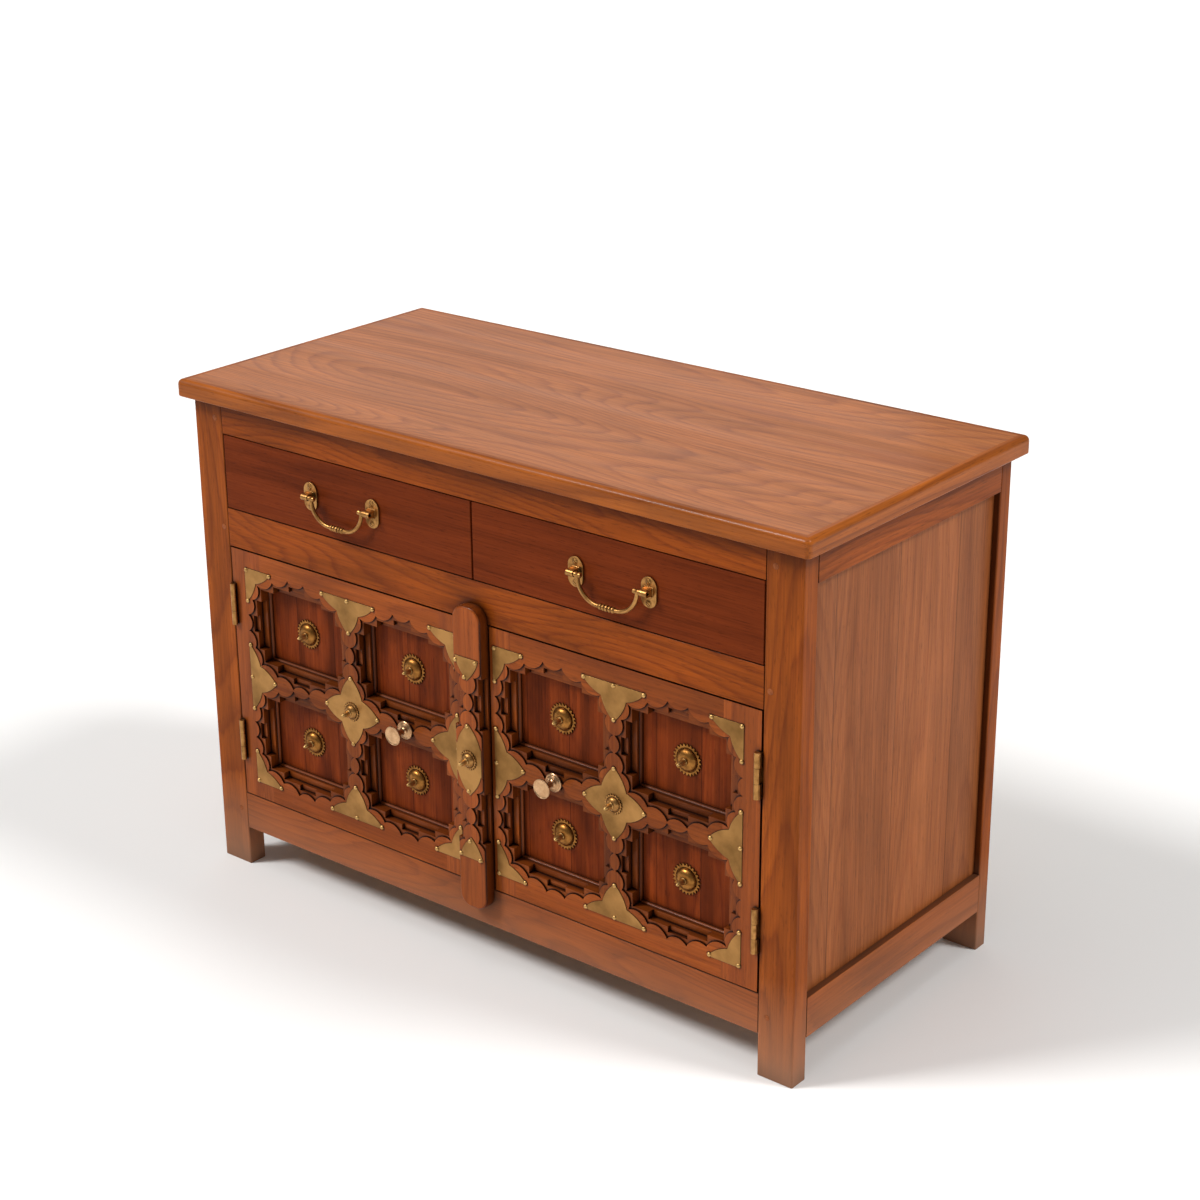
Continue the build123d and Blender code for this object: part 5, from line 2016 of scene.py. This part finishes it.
@dataclass
class Studio:
    """Pale floor, soft lights and the camera.

    Attributes:
        eye: Place of the camera.
        azimuth: Turn of the camera round the sideboard, in degrees from the front.
        elevation: Its height above the horizon, in degrees.
        roll: Its lean, in degrees.
        lens_mm: Focal length on a sensor 36 mm wide.
        floor_size: Length of the floor's sides.
        sky_strength: Light that the surroundings give.
        aim_height: Highest point that a softbox faces.
        suns: Direction, power and width in degrees of the far lights.
        softboxes: Place, length of the sides and watts of the near lights.
    """

    eye: Place = (2.0044, -2.4187, 1.7069)
    azimuth: float = 39.22
    elevation: float = 21.49
    roll: float = -0.45
    lens_mm: float = 72.74
    floor_size: float = 60.0
    sky_strength: float = 0.2
    aim_height: float = 0.4
    suns: dict[str, tuple[Place, float, float]] = field(
        default_factory=lambda: {
            "key_light": ((-0.50, -0.50, 0.71), 2.3, 16.0),
            "top_light": ((-0.05, -0.20, 0.98), 0.5, 40.0),
            "side_fill": ((0.62, 0.22, 0.75), 1.5, 14.0),
        }
    )
    softboxes: dict[str, tuple[Place, float, float]] = field(
        default_factory=lambda: {
            "back_softbox": ((-3.1, 3.6, 2.9), 2.6, 14.0),
            "low_side_card": ((1.5, -0.05, 0.12), 0.5, 1.6),
        }
    )

    def build(self) -> None:
        """Lay the floor, hang the lights and set the camera."""
        self.floor()
        self.sky()
        for name, (source, strength, spread) in self.suns.items():
            self.sun(name, source, strength, spread)
        for name, (place, size, power) in self.softboxes.items():
            self.softbox(name, place, size, power)
        self.camera()

    def floor(self) -> None:
        """Plain pale floor, far larger than the view."""
        bpy.ops.object.select_all(action="DESELECT")
        bpy.ops.mesh.primitive_plane_add(size=self.floor_size, location=(0, 0, 0))
        floor = named("studio_floor")
        material, tree = fresh_material("matt_white_floor")
        shader = add_node(
            tree,
            "ShaderNodeBsdfPrincipled",
            inputs={
                "Base Color": linear("f5f4f2"),
                "Roughness": 0.9,
                "Specular IOR Level": 0.2,
            },
        )
        add_node(tree, "ShaderNodeOutputMaterial", inputs={0: shader.outputs[0]})
        floor.data.materials.append(material)

    def sky(self) -> None:
        """Even white surroundings, seen as bright as the floor but lit less."""
        world = bpy.data.worlds.new("studio_surroundings")
        bpy.context.scene.world = world
        world.use_nodes = True
        tree = world.node_tree
        backdrop = tree.nodes["Background"]
        backdrop.inputs["Color"].default_value = (1.0, 1.0, 1.0, 1.0)
        seen = add_node(tree, "ShaderNodeLightPath").outputs["Is Camera Ray"]
        strength = add_node(
            tree, "ShaderNodeMapRange", inputs={0: seen, 3: self.sky_strength, 4: 1.0}
        )
        tree.links.new(strength.outputs[0], backdrop.inputs["Strength"])
        bpy.context.scene.view_settings.view_transform = "Standard"

    def sun(self, name: str, source: Place, strength: float, spread: float) -> None:
        """Far soft light that falls evenly on everything.

        Args:
            name: Name of the light.
            source: Direction towards the light.
            strength: Power for each square metre.
            spread: Angle that the light fills, in degrees.
        """
        bpy.ops.object.light_add(
            type="SUN", rotation=Vector(source).to_track_quat("Z", "Y").to_euler()
        )
        light = bpy.context.active_object
        light.name = name
        light.data.energy = strength
        light.data.angle = math.radians(spread)

    def softbox(self, name: str, place: Place, size: float, power: float) -> None:
        """Square soft light that faces the middle of the sideboard.

        Args:
            name: Name of the light.
            place: Where it hangs, in metres.
            size: Length of its sides, in metres.
            power: Power in watts.
        """
        aim = Vector((0.0, 0.0, min(place[2], self.aim_height))) - Vector(place)
        bpy.ops.object.light_add(
            type="AREA",
            location=place,
            rotation=aim.to_track_quat("-Z", "Y").to_euler(),
        )
        light = bpy.context.active_object
        light.name = name
        light.data.size = size
        light.data.energy = power
        light.visible_camera = False

    def camera(self) -> None:
        """Camera above the right front corner."""
        azimuth, elevation, roll = map(
            math.radians, (self.azimuth, self.elevation, self.roll)
        )
        back = Vector(
            (
                math.sin(azimuth) * math.cos(elevation),
                -math.cos(azimuth) * math.cos(elevation),
                math.sin(elevation),
            )
        )
        right = Vector((math.cos(azimuth), math.sin(azimuth), 0.0))
        up = back.cross(right)
        rolled_right = math.cos(roll) * right + math.sin(roll) * up
        rolled_up = math.cos(roll) * up - math.sin(roll) * right
        turn = Matrix((rolled_right, rolled_up, back)).transposed()
        bpy.ops.object.camera_add(location=self.eye, rotation=turn.to_euler())
        camera = bpy.context.active_object
        camera.name = "view_camera"
        camera.data.lens = self.lens_mm
        camera.data.sensor_width = 36.0
        bpy.context.scene.camera = camera


def main() -> None:
    """Build the sideboard's looks on its frame."""
    logging.basicConfig(level=logging.INFO, format="%(name)s: %(message)s")
    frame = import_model()
    nodes = frame["nodes"]

    Top().build(nodes)
    Carcass().build(nodes)
    for side in ("left", "right"):
        Drawer(side).build(nodes)
    for sign in (-1, 1):
        Door(sign).build(nodes)
    dress(nodes["frame_hinge_leaves"], Finish.CAST_BRASS, "aged_brass")
    Studio().build()


if __name__ == "__main__":
    main()
